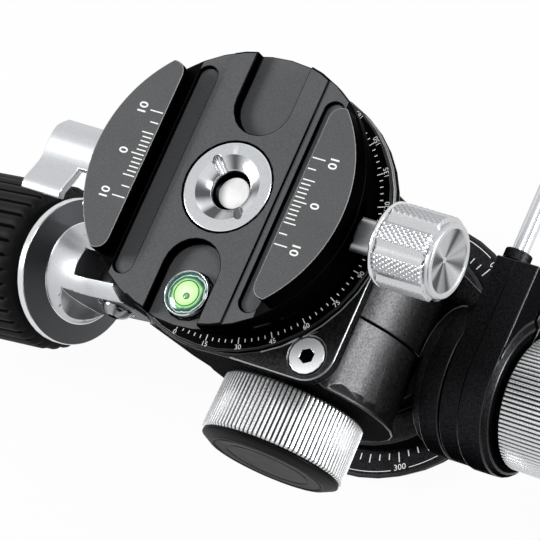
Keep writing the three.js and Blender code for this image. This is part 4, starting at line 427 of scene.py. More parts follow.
@dataclass(frozen=True)
class SatinAluminium(Finish):
    """Aluminium, finely blasted and clear anodised: a pale silver with a velvety grain.

    The grain is near 0.1 mm and is drawn at 0.3 mm so that it shows.
    """

    name: str
    colour: str
    roughness: float = 0.34
    grain_mm: float = 0.3
    grain_depth_mm: float = 0.02
    relief: float = 0.18
    darkest: float = 0.88
    palest: float = 1.1
    gloss_spread: float = 0.05

    def paint(self, tree: bpy.types.NodeTree, shader: bpy.types.Node) -> Pattern:
        """Sets the velvety grain.

        Args:
            tree: Node tree of the material.
            shader: Its principled shader.

        Returns:
            The patterns that drive it.
        """
        place = add_node(tree, "ShaderNodeTexCoord").outputs["Object"]
        grain = add_node(
            tree, "ShaderNodeTexNoise", {"Scale": per_mm(self.grain_mm), "Detail": 3.0, "Roughness": 0.7},
            {"Vector": place},
        )
        tone = add_node(
            tree, "ShaderNodeMapRange",
            {
                "From Min": NOISE_LOW, "From Max": NOISE_HIGH,
                "To Min": self.darkest, "To Max": self.palest,
            },
            {"Value": grain.outputs["Fac"]},
        )
        colour = add_node(
            tree, "ShaderNodeVectorMath", {"operation": "SCALE", 0: linear(self.colour)[:3]},
            {"Scale": tone.outputs["Result"]},
        )
        rough = add_node(
            tree, "ShaderNodeMapRange",
            {"To Min": self.roughness - self.gloss_spread, "To Max": self.roughness + self.gloss_spread},
            {"Value": grain.outputs["Fac"]},
        )
        shader.inputs["Metallic"].default_value = 1.0
        return Pattern(
            colour.outputs["Vector"], rough.outputs["Result"], grain.outputs["Fac"], self.grain_depth_mm,
            self.relief,
        )


@dataclass(frozen=True)
class FlutedMetal(Finish):
    """Aluminium cut into fine flutes round its Z axis and clear anodised.

    To the eye it is a row of bright crests between dark roots, where light can't reach; that shade is
    painted into the colour of the roots.
    The grain of the cut is near 0.1 mm and is drawn at 0.35 mm.
    """

    name: str
    colour: str
    root_shade_colour: str
    flutes: int
    root_share: float = 0.5
    roughness: float = 0.26
    metallic: float = 0.6
    grain_mm: float = 0.35
    grain_depth_mm: float = 0.02
    relief: float = 0.1
    shinier: float = 0.06
    duller: float = 0.1

    def paint(self, tree: bpy.types.NodeTree, shader: bpy.types.Node) -> Pattern:
        """Sets a painted shade that darkens the root of each flute.

        Args:
            tree: Node tree of the material.
            shader: Its principled shader.

        Returns:
            The patterns that drive it.
        """
        place = add_node(tree, "ShaderNodeTexCoord").outputs["Object"]
        split = add_node(tree, "ShaderNodeSeparateXYZ", links={"Vector": place})
        turn = add_node(
            tree, "ShaderNodeMath", {"operation": "ARCTAN2"}, {0: split.outputs["Y"], 1: split.outputs["X"]}
        )
        many = add_node(
            tree, "ShaderNodeMath", {"operation": "MULTIPLY", 1: float(self.flutes)},
            {0: turn.outputs["Value"]},
        )
        wave = add_node(tree, "ShaderNodeMath", {"operation": "COSINE"}, {0: many.outputs["Value"]})
        crest = add_node(
            tree, "ShaderNodeMapRange",
            {"From Min": -1.0, "From Max": -1.0 + 2 * self.root_share, "To Min": 0.0, "To Max": 1.0},
            {"Value": wave.outputs["Value"]},
        )
        grain = add_node(
            tree, "ShaderNodeTexNoise",
            {"Scale": per_mm(self.grain_mm), "Detail": 3.0, "Roughness": 0.7}, {"Vector": place},
        )
        # Painted shade: the root colour takes over in each flute's root
        colour = add_node(
            tree, "ShaderNodeMix",
            {"data_type": "RGBA", 6: linear(self.root_shade_colour), 7: linear(self.colour)},
            {0: crest.outputs["Result"]},
        )
        rough = add_node(
            tree, "ShaderNodeMapRange",
            {"To Min": self.roughness - self.shinier, "To Max": self.roughness + self.duller},
            {"Value": grain.outputs["Fac"]},
        )
        shader.inputs["Metallic"].default_value = self.metallic
        return Pattern(
            colour.outputs[2], rough.outputs["Result"], grain.outputs["Fac"], self.grain_depth_mm,
            self.relief,
        )


@dataclass(frozen=True)
class MouldedPolymer(Finish):
    """Plastic or rubber moulded against a sparked tool.

    To the eye it is dull, with a fine even pebble. Sparked tools leave pits near
    0.05 mm, and they are drawn ten times larger or more so that they show.
    """

    name: str
    colour: str
    roughness: float
    pebble_mm: float
    specular: float = 0.5
    relief: float = 0.3
    pebble_depth_mm: float = 0.04
    cloud_mm: float = 4.0
    darkest: float = 0.75
    palest: float = 1.3
    gloss_spread: float = 0.08
    ior: float = 1.5

    def paint(self, tree: bpy.types.NodeTree, shader: bpy.types.Node) -> Pattern:
        """Sets the pebble of the mould and small changes of tone.

        Args:
            tree: Node tree of the material.
            shader: Its principled shader.

        Returns:
            The patterns that drive it.
        """
        place = add_node(tree, "ShaderNodeTexCoord").outputs["Object"]
        pebble = add_node(
            tree, "ShaderNodeTexVoronoi", {"feature": "SMOOTH_F1", "Scale": per_mm(self.pebble_mm)},
            {"Vector": place},
        )
        cloud = add_node(
            tree, "ShaderNodeTexNoise", {"Scale": per_mm(self.cloud_mm), "Detail": 4.0}, {"Vector": place}
        )
        tone = add_node(
            tree, "ShaderNodeMapRange", {"To Min": self.darkest, "To Max": self.palest},
            {"Value": cloud.outputs["Fac"]},
        )
        colour = add_node(
            tree, "ShaderNodeVectorMath", {"operation": "SCALE", 0: linear(self.colour)[:3]},
            {"Scale": tone.outputs["Result"]},
        )
        rough = add_node(
            tree, "ShaderNodeMapRange",
            {
                "To Min": self.roughness - self.gloss_spread,
                "To Max": min(self.roughness + self.gloss_spread, 1.0),
            },
            {"Value": cloud.outputs["Fac"]},
        )
        shader.inputs["IOR"].default_value = self.ior
        shader.inputs["Specular IOR Level"].default_value = self.specular
        return Pattern(
            colour.outputs["Vector"], rough.outputs["Result"], pebble.outputs["Distance"],
            self.pebble_depth_mm, self.relief,
        )


@dataclass(frozen=True)
class ScreenInk(Finish):
    """White ink filled into engraved marks: flat, slightly uneven and chalky, with a faint painted glow."""

    name: str
    colour: str
    roughness: float = 0.6
    thin_mm: float = 0.5
    thin_limit: float = 0.6
    thin_tone: float = 0.82
    painted_glow: float = 0.25

    def paint(self, tree: bpy.types.NodeTree, shader: bpy.types.Node) -> Pattern:
        """Sets a chalky white with thin places, and a faint painted glow.

        Args:
            tree: Node tree of the material.
            shader: Its principled shader.

        Returns:
            The patterns that drive it.
        """
        place = add_node(tree, "ShaderNodeTexCoord").outputs["Object"]
        thin = add_node(
            tree, "ShaderNodeTexNoise", {"Scale": per_mm(self.thin_mm), "Detail": 3.0}, {"Vector": place}
        )
        tone = add_node(
            tree, "ShaderNodeMapRange",
            {"From Min": NOISE_LOW, "From Max": self.thin_limit, "To Min": self.thin_tone, "To Max": 1.0},
            {"Value": thin.outputs["Fac"]},
        )
        colour = add_node(
            tree, "ShaderNodeVectorMath", {"operation": "SCALE", 0: linear(self.colour)[:3]},
            {"Scale": tone.outputs["Result"]},
        )
        shader.inputs["Roughness"].default_value = self.roughness
        # Painted light: the ink glows faintly, though it is no lamp
        shader.inputs["Emission Color"].default_value = linear(self.colour)
        shader.inputs["Emission Strength"].default_value = self.painted_glow
        return Pattern(colour.outputs["Vector"])


@dataclass(frozen=True)
class LevelLiquid(Finish):
    """Green alcohol in an acrylic vial: painted bright and glowing, for the light that comes back from its
    white floor.
    """

    name: str
    painted_light_bands: tuple[tuple[float, str], ...]
    radius_mm: float
    band_reach: float = 1.1
    swirl_mm: float = 2.2
    swirl_reach_mm: float = 0.9
    coat_roughness: float = 0.02
    roughness: float = 0.12
    ior: float = 1.36
    painted_glow: float = 0.25

    def paint(self, tree: bpy.types.NodeTree, shader: bpy.types.Node) -> Pattern:
        """Sets a painted bright middle, painted bright and dark rings for the reflections and shade in the
        wall of the vial, and a painted glow.

        Args:
            tree: Node tree of the material.
            shader: Its principled shader.

        Returns:
            The patterns that drive it.
        """
        place = add_node(tree, "ShaderNodeTexCoord").outputs["Object"]
        split = add_node(tree, "ShaderNodeSeparateXYZ", links={"Vector": place})
        flat = add_node(
            tree, "ShaderNodeCombineXYZ", links={"X": split.outputs["X"], "Y": split.outputs["Y"]}
        )
        radius = add_node(tree, "ShaderNodeVectorMath", {"operation": "LENGTH"}, {0: flat.outputs["Vector"]})
        swirl = add_node(
            tree, "ShaderNodeTexNoise",
            {"Scale": per_mm(self.swirl_mm), "Detail": 1.0, "Distortion": 0.6}, {"Vector": place},
        )
        shift = add_node(
            tree, "ShaderNodeMath", {"operation": "MULTIPLY_ADD", 1: self.swirl_reach_mm * MM},
            {0: swirl.outputs["Fac"], 2: radius.outputs["Value"]},
        )
        edge = add_node(
            tree, "ShaderNodeMapRange", {"From Min": 0.0, "From Max": self.band_reach * self.radius_mm * MM},
            {"Value": shift.outputs["Value"]},
        )
        ramp = add_node(tree, "ShaderNodeValToRGB", links={"Fac": edge.outputs["Result"]})
        ramp.color_ramp.elements[0].color = linear(self.painted_light_bands[0][1])
        ramp.color_ramp.elements[1].color = linear(self.painted_light_bands[-1][1])
        for share, band in self.painted_light_bands[1:-1]:
            ramp.color_ramp.elements.new(share).color = linear(band)
        # Painted light: the painted rings also glow
        tree.links.new(ramp.outputs["Color"], shader.inputs["Emission Color"])
        shader.inputs["Emission Strength"].default_value = self.painted_glow
        shader.inputs["Roughness"].default_value = self.roughness
        shader.inputs["IOR"].default_value = self.ior
        shader.inputs["Coat Weight"].default_value = 1.0
        shader.inputs["Coat Roughness"].default_value = self.coat_roughness
        return Pattern(ramp.outputs["Color"])


# Clamp and jaws, blasted and anodised grey: matt and even, and drawn without metal's own reflections
GREY_ANODISED = BlastedAnodising(
    "grey_blasted_anodised_aluminium", "#5a5b5d", roughness=0.55, metallic=0.0, specular=0.2, relief=0.35
)
# Edges of the same pieces: a smoother line, painted paler as a highlight where light catches the jaws' top
# edges
GREY_EDGE_HIGHLIGHT = BlastedAnodising(
    "grey_edge_painted_highlight", "#8c8e90", roughness=0.4, metallic=0.0, specular=0.6
)
# Their walls, low edges and the floor beside the jaws: painted nearly black as shade where the light passes
# over, with a dull sheen
WALL_PAINTED_SHADE = BlastedAnodising(
    "clamp_wall_painted_shade", "#0d0d0e", roughness=0.42, metallic=1.0, edge_tint=0.3, relief=0.3
)
# Base, platform, arm and collar, blasted coarsely and anodised black: deep black with a sandy sheen
BLACK_ANODISED = BlastedAnodising(
    "black_blasted_anodised_aluminium", "#222224", roughness=0.45, metallic=1.0, edge_tint=0.15,
    bead_mm=0.45, relief=0.9, grain=0.55,
)
# The same on the two round bodies, painted lighter so that their broad highlight shows: a dark grey, a
# painted sheen
DRUM_PAINTED_SHEEN = BlastedAnodising(
    "black_anodised_drum_painted_sheen", "#353536", roughness=0.4, metallic=1.0, edge_tint=0.15,
    bead_mm=0.45, relief=0.8, grain=0.5,
)
# Edges of black pieces, smoother than their faces and painted a little lighter as a faint highlight: a thin
# grey line
BLACK_EDGE_HIGHLIGHT = BlastedAnodising("black_edge_painted_highlight", "#343536", roughness=0.3, metallic=1.0)
# Edge of the lug on its lit right side: a thin bright line, a painted highlight
LUG_EDGE_HIGHLIGHT = BlastedAnodising("lug_edge_painted_highlight", "#8e9092", roughness=0.3, metallic=1.0)
# Scale ring, turned and anodised black: darker than the blasted bodies, so that its figures stand out
SCALE_BLACK = BlastedAnodising(
    "black_anodised_turned_scale", "#0e0e0f", roughness=0.4, metallic=1.0, edge_tint=0.3
)
# Small knobs, rod, screw, fork and lever, clear anodised: a soft pale silver that mirrors nothing
SILVER = SatinAluminium("satin_clear_anodised_aluminium", "#c6c8cb")
# Flat faces of the fork, its underside and the back of its flange, grained by the cutter and painted darker
# as shade: a duller and darker grey
SILVER_PAINTED_SHADE = SatinAluminium("silver_face_painted_shade", "#4c4e50", roughness=0.42, relief=0.5)
# Flat rim of the ring nut, faced square to the light: an even pale grey
WHITE_RING = SatinAluminium("pale_faced_aluminium", "#a8aaad", roughness=0.42)
# Head of the lug's screw, faced and left bare: nearly white under the lamp
PALE_STEEL = SatinAluminium("pale_faced_screw", "#f0f2f4", roughness=0.5)
# Freshly turned rims and edges of silver pieces: a hard bright line
BRIGHT_RING = TurnedMetal("bright_turned_aluminium", "#dcdee0", roughness=0.2)
# Cone of the ring nut, spun to a shine: light and dark fans round its middle, painted into its colour as
# reflections
SPUN = TurnedMetal("spun_aluminium_dish", "#d4d6d9", roughness=0.2, anisotropy=0.9, fans=0.85)
# Hollow end of the clamp knob, spun likewise: the same painted fans of reflection on a darker grey
SPUN_END = TurnedMetal("spun_knob_end", "#b6b8bb", roughness=0.2, anisotropy=0.9, fans=0.92)
# Studs, pins and nuts, turned from stainless steel: a plain grey shine
STEEL = TurnedMetal("turned_stainless_steel", "#a2a3a5", roughness=0.28)
# Collar screw, blackened in oil, and the sockets of bright screws, painted black as shade: black with a
# small highlight
BLACK_STEEL_AND_SHADE = TurnedMetal("blackened_steel_and_socket_shade", "#0b0b0c", roughness=0.32)
# Bush and keeper ring, turned from brass: a warm yellow shine
BRASS = TurnedMetal("turned_brass", "#b58f45", roughness=0.3)
# Ring of the level, plated and polished: a mirror with no tool marks
CHROME = TurnedMetal("polished_chrome_plate", "#d8dadc", roughness=0.08, lay=Lay.NONE, relief=0.02)
# Domed screw of the fold, turned before plating: a mirror broken into fans, also painted into its colour as
# reflections
SCREW_CHROME = TurnedMetal("domed_screw_chrome", "#9c9da0", roughness=0.16, anisotropy=0.5, fans=0.75)
# Rims of the two lock knobs, cut into fine flutes: bright crests, with their roots painted black as shade
FLUTED = FlutedMetal("fluted_turned_aluminium", "#e6e8ea", "#050506", KNOB_FLUTES, FLUTE_ROOT_SHARE)
# Panels of the clamp knob, pressed with a knurling wheel: a glitter of small facets
KNURLED = SatinAluminium("knurled_aluminium", "#b6b8bb", roughness=0.28)
# Flutes between those panels, cut with a round mill: smooth, with long soft highlights
MILLED = SatinAluminium("milled_flute_aluminium", "#caccce", roughness=0.2, relief=0.08)
# Caps of the knobs and the grip, moulded from nylon: black with next to no shine
CAP_PLASTIC = MouldedPolymer(
    "moulded_black_nylon_cap", "#0b0b0c", roughness=0.42, pebble_mm=0.5, specular=0.04
)
# Grip, moulded from rubber: a dull soft black
RUBBER = MouldedPolymer("moulded_black_rubber", "#141415", roughness=0.6, pebble_mm=0.6, specular=0.12)
# Grooves of the grip, painted plain black as shade where no light gets in
RUBBER_GROOVE_SHADE = MouldedPolymer(
    "rubber_groove_painted_shade", "#010101", roughness=0.8, pebble_mm=0.6, specular=0.05
)
# Friction ring, turned from acetal: a waxy white
ACETAL = MouldedPolymer("white_acetal_ring", "#dcdbd4", roughness=0.45, pebble_mm=0.8)
# White disc in the hole of the ring nut: painted light that stands for the brightness seen down the hole
HOLE_PAINTED_LIGHT = MouldedPolymer("hole_plug_painted_light", "#ffffff", roughness=0.5, pebble_mm=0.8)
# Figures and lines, filled with white paint: chalky, and clear against the metal, with a faint painted glow
INK = ScreenInk("white_scale_ink", "#f2f2f0")
# Liquid of the level: yellow-green in its middle, with dark and bright rings painted in for the reflections
# and shade of the vial's wall, and a painted glow
LIQUID = LevelLiquid(
    "green_level_liquid",
    (
        (0.0, "#f2ffe6"), (0.5, "#d2ffb0"), (0.7, "#9bea8c"), (0.77, "#2f8a5c"), (0.82, "#06231a"),
        (0.87, "#0d4a3c"), (0.9, "#e4faf0"), (0.93, "#0c2a24"), (1.0, "#5fa694"),
    ),
    radius_mm=4.7,
)
# Bubble in it: a paler green lens, painted pale in its middle and dark at its edge, with a painted glow
BUBBLE = LevelLiquid("pale_level_bubble", ((0.0, "#b8f59a"), (1.0, "#2c8f52")), radius_mm=1.0)
# Circle printed on the vial, and the bubble's edge, which is painted shade: thin black lines
PRINT_AND_SHADE_BLACK = MouldedPolymer("level_print_and_bubble_shade", "#050606", roughness=0.4, pebble_mm=0.6)


# Mesh work


def new_object(name: str, shape: bmesh.types.BMesh, place: Matrix | None = None) -> bpy.types.Object:
    """Makes a scene object from mesh work.

    Args:
        name: Name of the piece.
        shape: Mesh work in metres, which is freed.
        place: Frame that the shape is drawn in.

    Returns:
        The object, linked to the scene.
    """
    mesh = bpy.data.meshes.new(name)
    shape.to_mesh(mesh)
    shape.free()
    made = bpy.data.objects.new(name, mesh)
    bpy.context.scene.collection.objects.link(made)
    if place is not None:
        made.matrix_world = place
    return made


def outward(shape: bmesh.types.BMesh) -> bmesh.types.BMesh:
    """Turns every face of a closed shape outwards.

    Args:
        shape: Mesh work of the closed shape.

    Returns:
        The same mesh work.
    """
    bmesh.ops.recalc_face_normals(shape, faces=shape.faces)
    if shape.calc_volume(signed=True) < 0:
        bmesh.ops.reverse_faces(shape, faces=shape.faces)
    return shape


def turned(profile: Profile, steps: int = RING_STEPS) -> bmesh.types.BMesh:
    """Turns a profile round the Z axis.

    Args:
        profile: Points of radius and height in millimetres. A profile that starts off the axis is closed.
        steps: Facets round the axis.

    Returns:
        The turned mesh work in metres.
    """
    shape = bmesh.new()
    rings: list[list[bmesh.types.BMVert]] = []
    for radius, height in profile:
        if radius < ON_AXIS_MM:
            rings.append([shape.verts.new((0, 0, height * MM))])
            continue
        rings.append([
            shape.verts.new((
                radius * MM * math.cos(2 * math.pi * i / steps),
                radius * MM * math.sin(2 * math.pi * i / steps),
                height * MM,
            ))
            for i in range(steps)
        ])
    pairs = list(zip(rings, rings[1:]))
    if len(rings[0]) > 1:
        pairs.append((rings[-1], rings[0]))
    for low, high in pairs:
        bridge(shape, low, high)
    return outward(shape)


def bridge(
    shape: bmesh.types.BMesh, low: Sequence[bmesh.types.BMVert], high: Sequence[bmesh.types.BMVert]
) -> None:
    """Joins two rings of corners, either of which may be one point.

    Args:
        shape: Mesh work that holds them.
        low: Corners of the first ring.
        high: Corners of the second ring.
    """
    count = max(len(low), len(high))
    for i in range(count):
        j = (i + 1) % count
        if len(low) == 1 and len(high) == 1:
            return
        if len(low) == 1:
            shape.faces.new((low[0], high[i], high[j]))
        elif len(high) == 1:
            shape.faces.new((low[i], low[j], high[0]))
        else:
            shape.faces.new((low[i], low[j], high[j], high[i]))


def layered(
    levels: Sequence[tuple[float, Callable[[float], float]]], steps: int
) -> bmesh.types.BMesh:
    """Stacks outlines along Z, each given as a radius for every angle.

    Args:
        levels: Height in millimetres with the outline's radius in millimetres at an angle.
        steps: Corners round each outline.

    Returns:
        The closed mesh work in metres, with flat ends.
    """
    shape = bmesh.new()
    rings = []
    for height, outline in levels:
        ring = []
        for i in range(steps):
            angle = 2 * math.pi * i / steps
            reach = outline(angle) * MM
            ring.append(shape.verts.new((reach * math.cos(angle), reach * math.sin(angle), height * MM)))
        rings.append(ring)
    for low, high in zip(rings, rings[1:]):
        bridge(shape, low, high)
    for ring in (rings[0], rings[-1]):
        middle = shape.verts.new((0, 0, ring[0].co.z))
        bridge(shape, [middle], ring)
    return outward(shape)


def applied(made: bpy.types.Object) -> bpy.types.Object:
    """Fixes an object's modifiers in its mesh.

    Args:
        made: The object.

    Returns:
        The same object, without modifiers.
    """
    bpy.context.view_layer.update()
    seen = made.evaluated_get(bpy.context.evaluated_depsgraph_get())
    mesh = bpy.data.meshes.new_from_object(seen)
    made.modifiers.clear()
    old = made.data
    made.data = mesh
    bpy.data.meshes.remove(old)
    mesh.name = made.name
    return made


def smooth(made: bpy.types.Object, angle: float = SHARP_ANGLE) -> bpy.types.Object:
    """Shades round faces smooth and keeps real corners sharp.

    Args:
        made: The piece.
        angle: Least angle between two faces that stays sharp.

    Returns:
        The same piece.
    """
    made.data.polygons.foreach_set("use_smooth", [True] * len(made.data.polygons))
    made.data.set_sharp_from_angle(angle=angle)
    return made


def ease_edges(made: bpy.types.Object, width_mm: float, band: int = 0) -> bpy.types.Object:
    """Breaks the sharp edges of a machined piece.

    Args:
        made: The piece.
        width_mm: Width of the broken edge.
        band: Material slot of the broken edge.

    Returns:
        The piece with its edges broken.
    """
    flat = bmesh.new()
    flat.from_mesh(made.data)
    bmesh.ops.dissolve_limit(
        flat, angle_limit=FLAT_ANGLE, verts=flat.verts, edges=flat.edges, delimit={"MATERIAL"}
    )
    flat.to_mesh(made.data)
    flat.free()
    smooth(made)
    bevel = made.modifiers.new("broken_edges", "BEVEL")
    bevel.width = width_mm * MM
    bevel.segments = EDGE_STEPS
    bevel.limit_method = "ANGLE"
    bevel.angle_limit = SHARP_ANGLE
    bevel.use_clamp_overlap = False
    bevel.material = band
    applied(made)
    smooth(made, ROUND_ANGLE)
    even = made.modifiers.new("even_faces", "WEIGHTED_NORMAL")
    even.mode = "FACE_AREA"
    even.weight = EVEN_WEIGHT
    even.keep_sharp = True
    return applied(made)


def dress(made: bpy.types.Object, finishes: Iterable[Finish]) -> None:
    """Gives a piece one material slot for each finish."""
    for finish in finishes:
        made.data.materials.append(finish.material())


def paint_socket_shade(made: bpy.types.Object, radius: float, below: float, finish: Finish) -> None:
    """Paints the socket of a screw dark as shade, where no light gets out.

    Args:
        made: The screw, drawn round its own Z axis.
        radius: Radius in millimetres that the socket lies in.
        below: Height in millimetres that the socket lies under.
        finish: Finish that paints the shade.
    """
    dress(made, (finish,))
    last = len(made.data.materials) - 1
    for face in made.data.polygons:
        at = face.center / MM
        if math.hypot(at.x, at.y) < radius and at.z < below:
            face.material_index = last


def cut_away(made: bpy.types.Object, cutters: Iterable[bpy.types.Object]) -> bpy.types.Object:
    """Cuts others out of a piece and removes them.

    Args:
        made: The piece.
        cutters: Objects that cut it.

    Returns:
        The cut piece.
    """
    for tool in cutters:
        cut = made.modifiers.new(tool.name, "BOOLEAN")
        cut.object = tool
        cut.operation = "DIFFERENCE"
        cut.solver = "EXACT"
        applied(made)
        mesh = tool.data
        bpy.data.objects.remove(tool)
        bpy.data.meshes.remove(mesh)
    return made


def box_shape(low: Sequence[float], high: Sequence[float]) -> bmesh.types.BMesh:
    """Makes a block, used only to cut.

    Args:
        low: Its lowest corner in millimetres.
        high: Its highest corner in millimetres.

    Returns:
        The block's mesh work in metres.
    """
    shape = bmesh.new()
    corners = [
        shape.verts.new((x * MM, y * MM, z * MM))
        for z in (low[2], high[2]) for y in (low[1], high[1]) for x in (low[0], high[0])
    ]
    for side in ((0, 2, 3, 1), (4, 5, 7, 6), (0, 1, 5, 4), (2, 6, 7, 3), (0, 4, 6, 2), (1, 3, 7, 5)):
        shape.faces.new([corners[i] for i in side])
    return outward(shape)


def flat_square(half: float, height: float) -> bmesh.types.BMesh:
    """Makes one level square face for the studio.

    Args:
        half: Half its side in metres.
        height: Its height in metres.

    Returns:
        The square's mesh work in metres.
    """
    shape = bmesh.new()
    corners = ((-half, -half), (half, -half), (half, half), (-half, half))
    shape.faces.new([shape.verts.new((x, y, height)) for x, y in corners])
    return shape


@dataclass
class Assembly:
    """Pieces of one sub-assembly, which ride on the bodies of the frame."""

    pieces: list[bpy.types.Object] = field(default_factory=list, init=False)

    def fit(
        self,
        made: bpy.types.Object,
        body: str,
        finishes: Sequence[Finish],
        slot: str,
        stands_for: Sequence[str] = (),
    ) -> bpy.types.Object:
        """Dresses a piece and hangs it on its body.

        Args:
            made: The piece, already in its place.
            body: Body of the frame that it moves with.
            finishes: One finish for each material slot, for a piece that has none yet.
            slot: Not used.
            stands_for: Nodes of the frame that it replaces.

        Returns:
            The piece.
        """
        if not made.data.materials:
            dress(made, finishes)
        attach(made, body)
        if stands_for:
            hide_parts(*stands_for)
        self.pieces.append(made)
        return made

    def machine(
        self,
        node: str,
        body: str,
        finish: Finish,
        band: Finish,
        slot: str,
        edge_mm: float = KNOB_EDGE,
        place: Matrix | None = None,
    ) -> bpy.types.Object:
        """Gives a solid of the frame broken edges and a blended surface.

        Args:
            node: Node of the frame that the piece stands for.
            body: Body that it moves with.
            finish: Finish of its faces.
            band: Finish of its broken edges.
            slot: Name of a material slot, handed on to fit.
            edge_mm: Width of the broken edges.
            place: Frame whose Z axis is the axis that the piece was turned on.

        Returns:
            The finished piece.
        """
        shape = bmesh.new()
        shape.from_mesh(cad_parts[node].data)
        bmesh.ops.remove_doubles(shape, verts=shape.verts, dist=WELD_MM * MM)
        if place is not None:
            bmesh.ops.transform(shape, matrix=place.inverted(), verts=shape.verts)
        made = new_object(f"{node}_finished", shape, place)
        dress(made, (finish, band))
        ease_edges(made, edge_mm, 1)
        return self.fit(made, body, (finish, band), slot, (node,))

    def polish(self, nodes: Iterable[str], finish: Finish) -> None:
        """Gives nodes of the frame that keep their own shape a finish.

        Args:
            nodes: Names of the nodes.
            finish: Their finish.
        """
        for node in nodes:
            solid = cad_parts[node]
            solid.data.materials.clear()
            dress(solid, (finish,))
            self.pieces.append(solid)

    def report(self) -> None:
        """Logs each piece of the sub-assembly."""
        for made in self.pieces:
            log.info("%s: %s, %d faces", type(self).__name__, made.name, len(made.data.polygons))


# Scales


class ScaleMarks:
    """Marks and numerals of one scale, drawn in millimetres on a flat face."""

    def __init__(self, height: float) -> None:
        """Starts an empty scale on the face at this height."""
        self.height = height + INK_LIFT
        self.shape = bmesh.new()

    def stroke(self, start: Sequence[float], end: Sequence[float], width: float) -> None:
        """Adds one straight mark.

        Args:
            start: First end in X and Y.
            end: Other end.
            width: Width of the mark.
        """
        first, last = Vector(start[:2]), Vector(end[:2])
        run = (last - first).normalized()
        side = Vector((-run.y, run.x)) * (width / 2)
        corners = [first - side, last - side, last + side, first + side]
        face = self.shape.faces.new([
            self.shape.verts.new((p.x * MM, p.y * MM, self.height * MM)) for p in corners
        ])
        face.normal_update()
        if face.normal.z < 0:
            face.normal_flip()

    def tick(self, angle: float, inner: float, outer: float, width: float) -> None:
        """Adds one mark along a radius, at an angle in degrees."""
        way = Vector((math.cos(math.radians(angle)), math.sin(math.radians(angle))))
        self.stroke(way * inner, way * outer, width)

    def arc(self, radius: float, start: float, end: float, width: float) -> None:
        """Adds a thin line round the axis.

        Args:
            radius: Radius of the line.
            start: Angle that it starts at, in degrees.
            end: Angle that it ends at, in degrees.
            width: Width of the line.
        """
        steps = max(2, int(abs(end - start) / ARC_STEP))
        angles = [math.radians(start + (end - start) * i / steps) for i in range(steps + 1)]
        for low, high in zip(angles, angles[1:]):
            self.stroke(
                (radius * math.cos(low), radius * math.sin(low)),
                (radius * math.cos(high), radius * math.sin(high)), width,
            )

    def numeral(
        self, text: str, middle: Sequence[float], turn: float, cap_height: float, bold: float = 0.0
    ) -> None:
        """Adds a numeral.

        Args:
            text: Its figures.
            middle: Centre of the numeral in X and Y.
            turn: Direction of its baseline in degrees.
            cap_height: Height of its figures.
            bold: Extra thickness of the strokes, as a share of the type size.
        """
        type_size = cap_height / FIGURE_SHARE
        face = bpy.data.curves.new("numeral", "FONT")
        face.body = text
        face.size = type_size * MM
        face.align_x = "CENTER"
        face.align_y = "CENTER"
        face.offset = bold * type_size * MM
        face.resolution_u = CURVE_STEPS
        made = bpy.data.objects.new("numeral", face)
        bpy.context.scene.collection.objects.link(made)
        made.matrix_world = (
            Matrix.Translation(Vector((middle[0], middle[1], self.height)) * MM)
            @ Matrix.Rotation(math.radians(turn), 4, "Z")
        )
        bpy.context.view_layer.update()
        mesh = bpy.data.meshes.new_from_object(made.evaluated_get(bpy.context.evaluated_depsgraph_get()))
        mesh.transform(made.matrix_world)
        self.shape.from_mesh(mesh)
        bpy.data.objects.remove(made)
        bpy.data.meshes.remove(mesh)
        bpy.data.curves.remove(face)

    def ring_numeral(self, degrees: int, angle: float, radius: float, cap_height: float) -> None:
        """Adds a numeral on a circle round the axis, to be read from outside.

        Args:
            degrees: Number that it shows.
            angle: Its place on the circle in degrees.
            radius: Radius of the circle.
            cap_height: Height of its figures.
        """
        way = math.radians(angle)
        middle = (radius * math.cos(way), radius * math.sin(way))
        self.numeral(str(degrees), middle, angle + 90, cap_height)

    def finished(self, name: str) -> bpy.types.Object:
        """Ends the scale and hands it out as one piece.

        Args:
            name: Name of the piece.

        Returns:
            The scale.
        """
        bmesh.ops.recalc_face_normals(self.shape, faces=self.shape.faces)
        for face in self.shape.faces:
            if face.normal.z < 0:
                face.normal_flip()
        return new_object(name, self.shape)


# Sub-assemblies


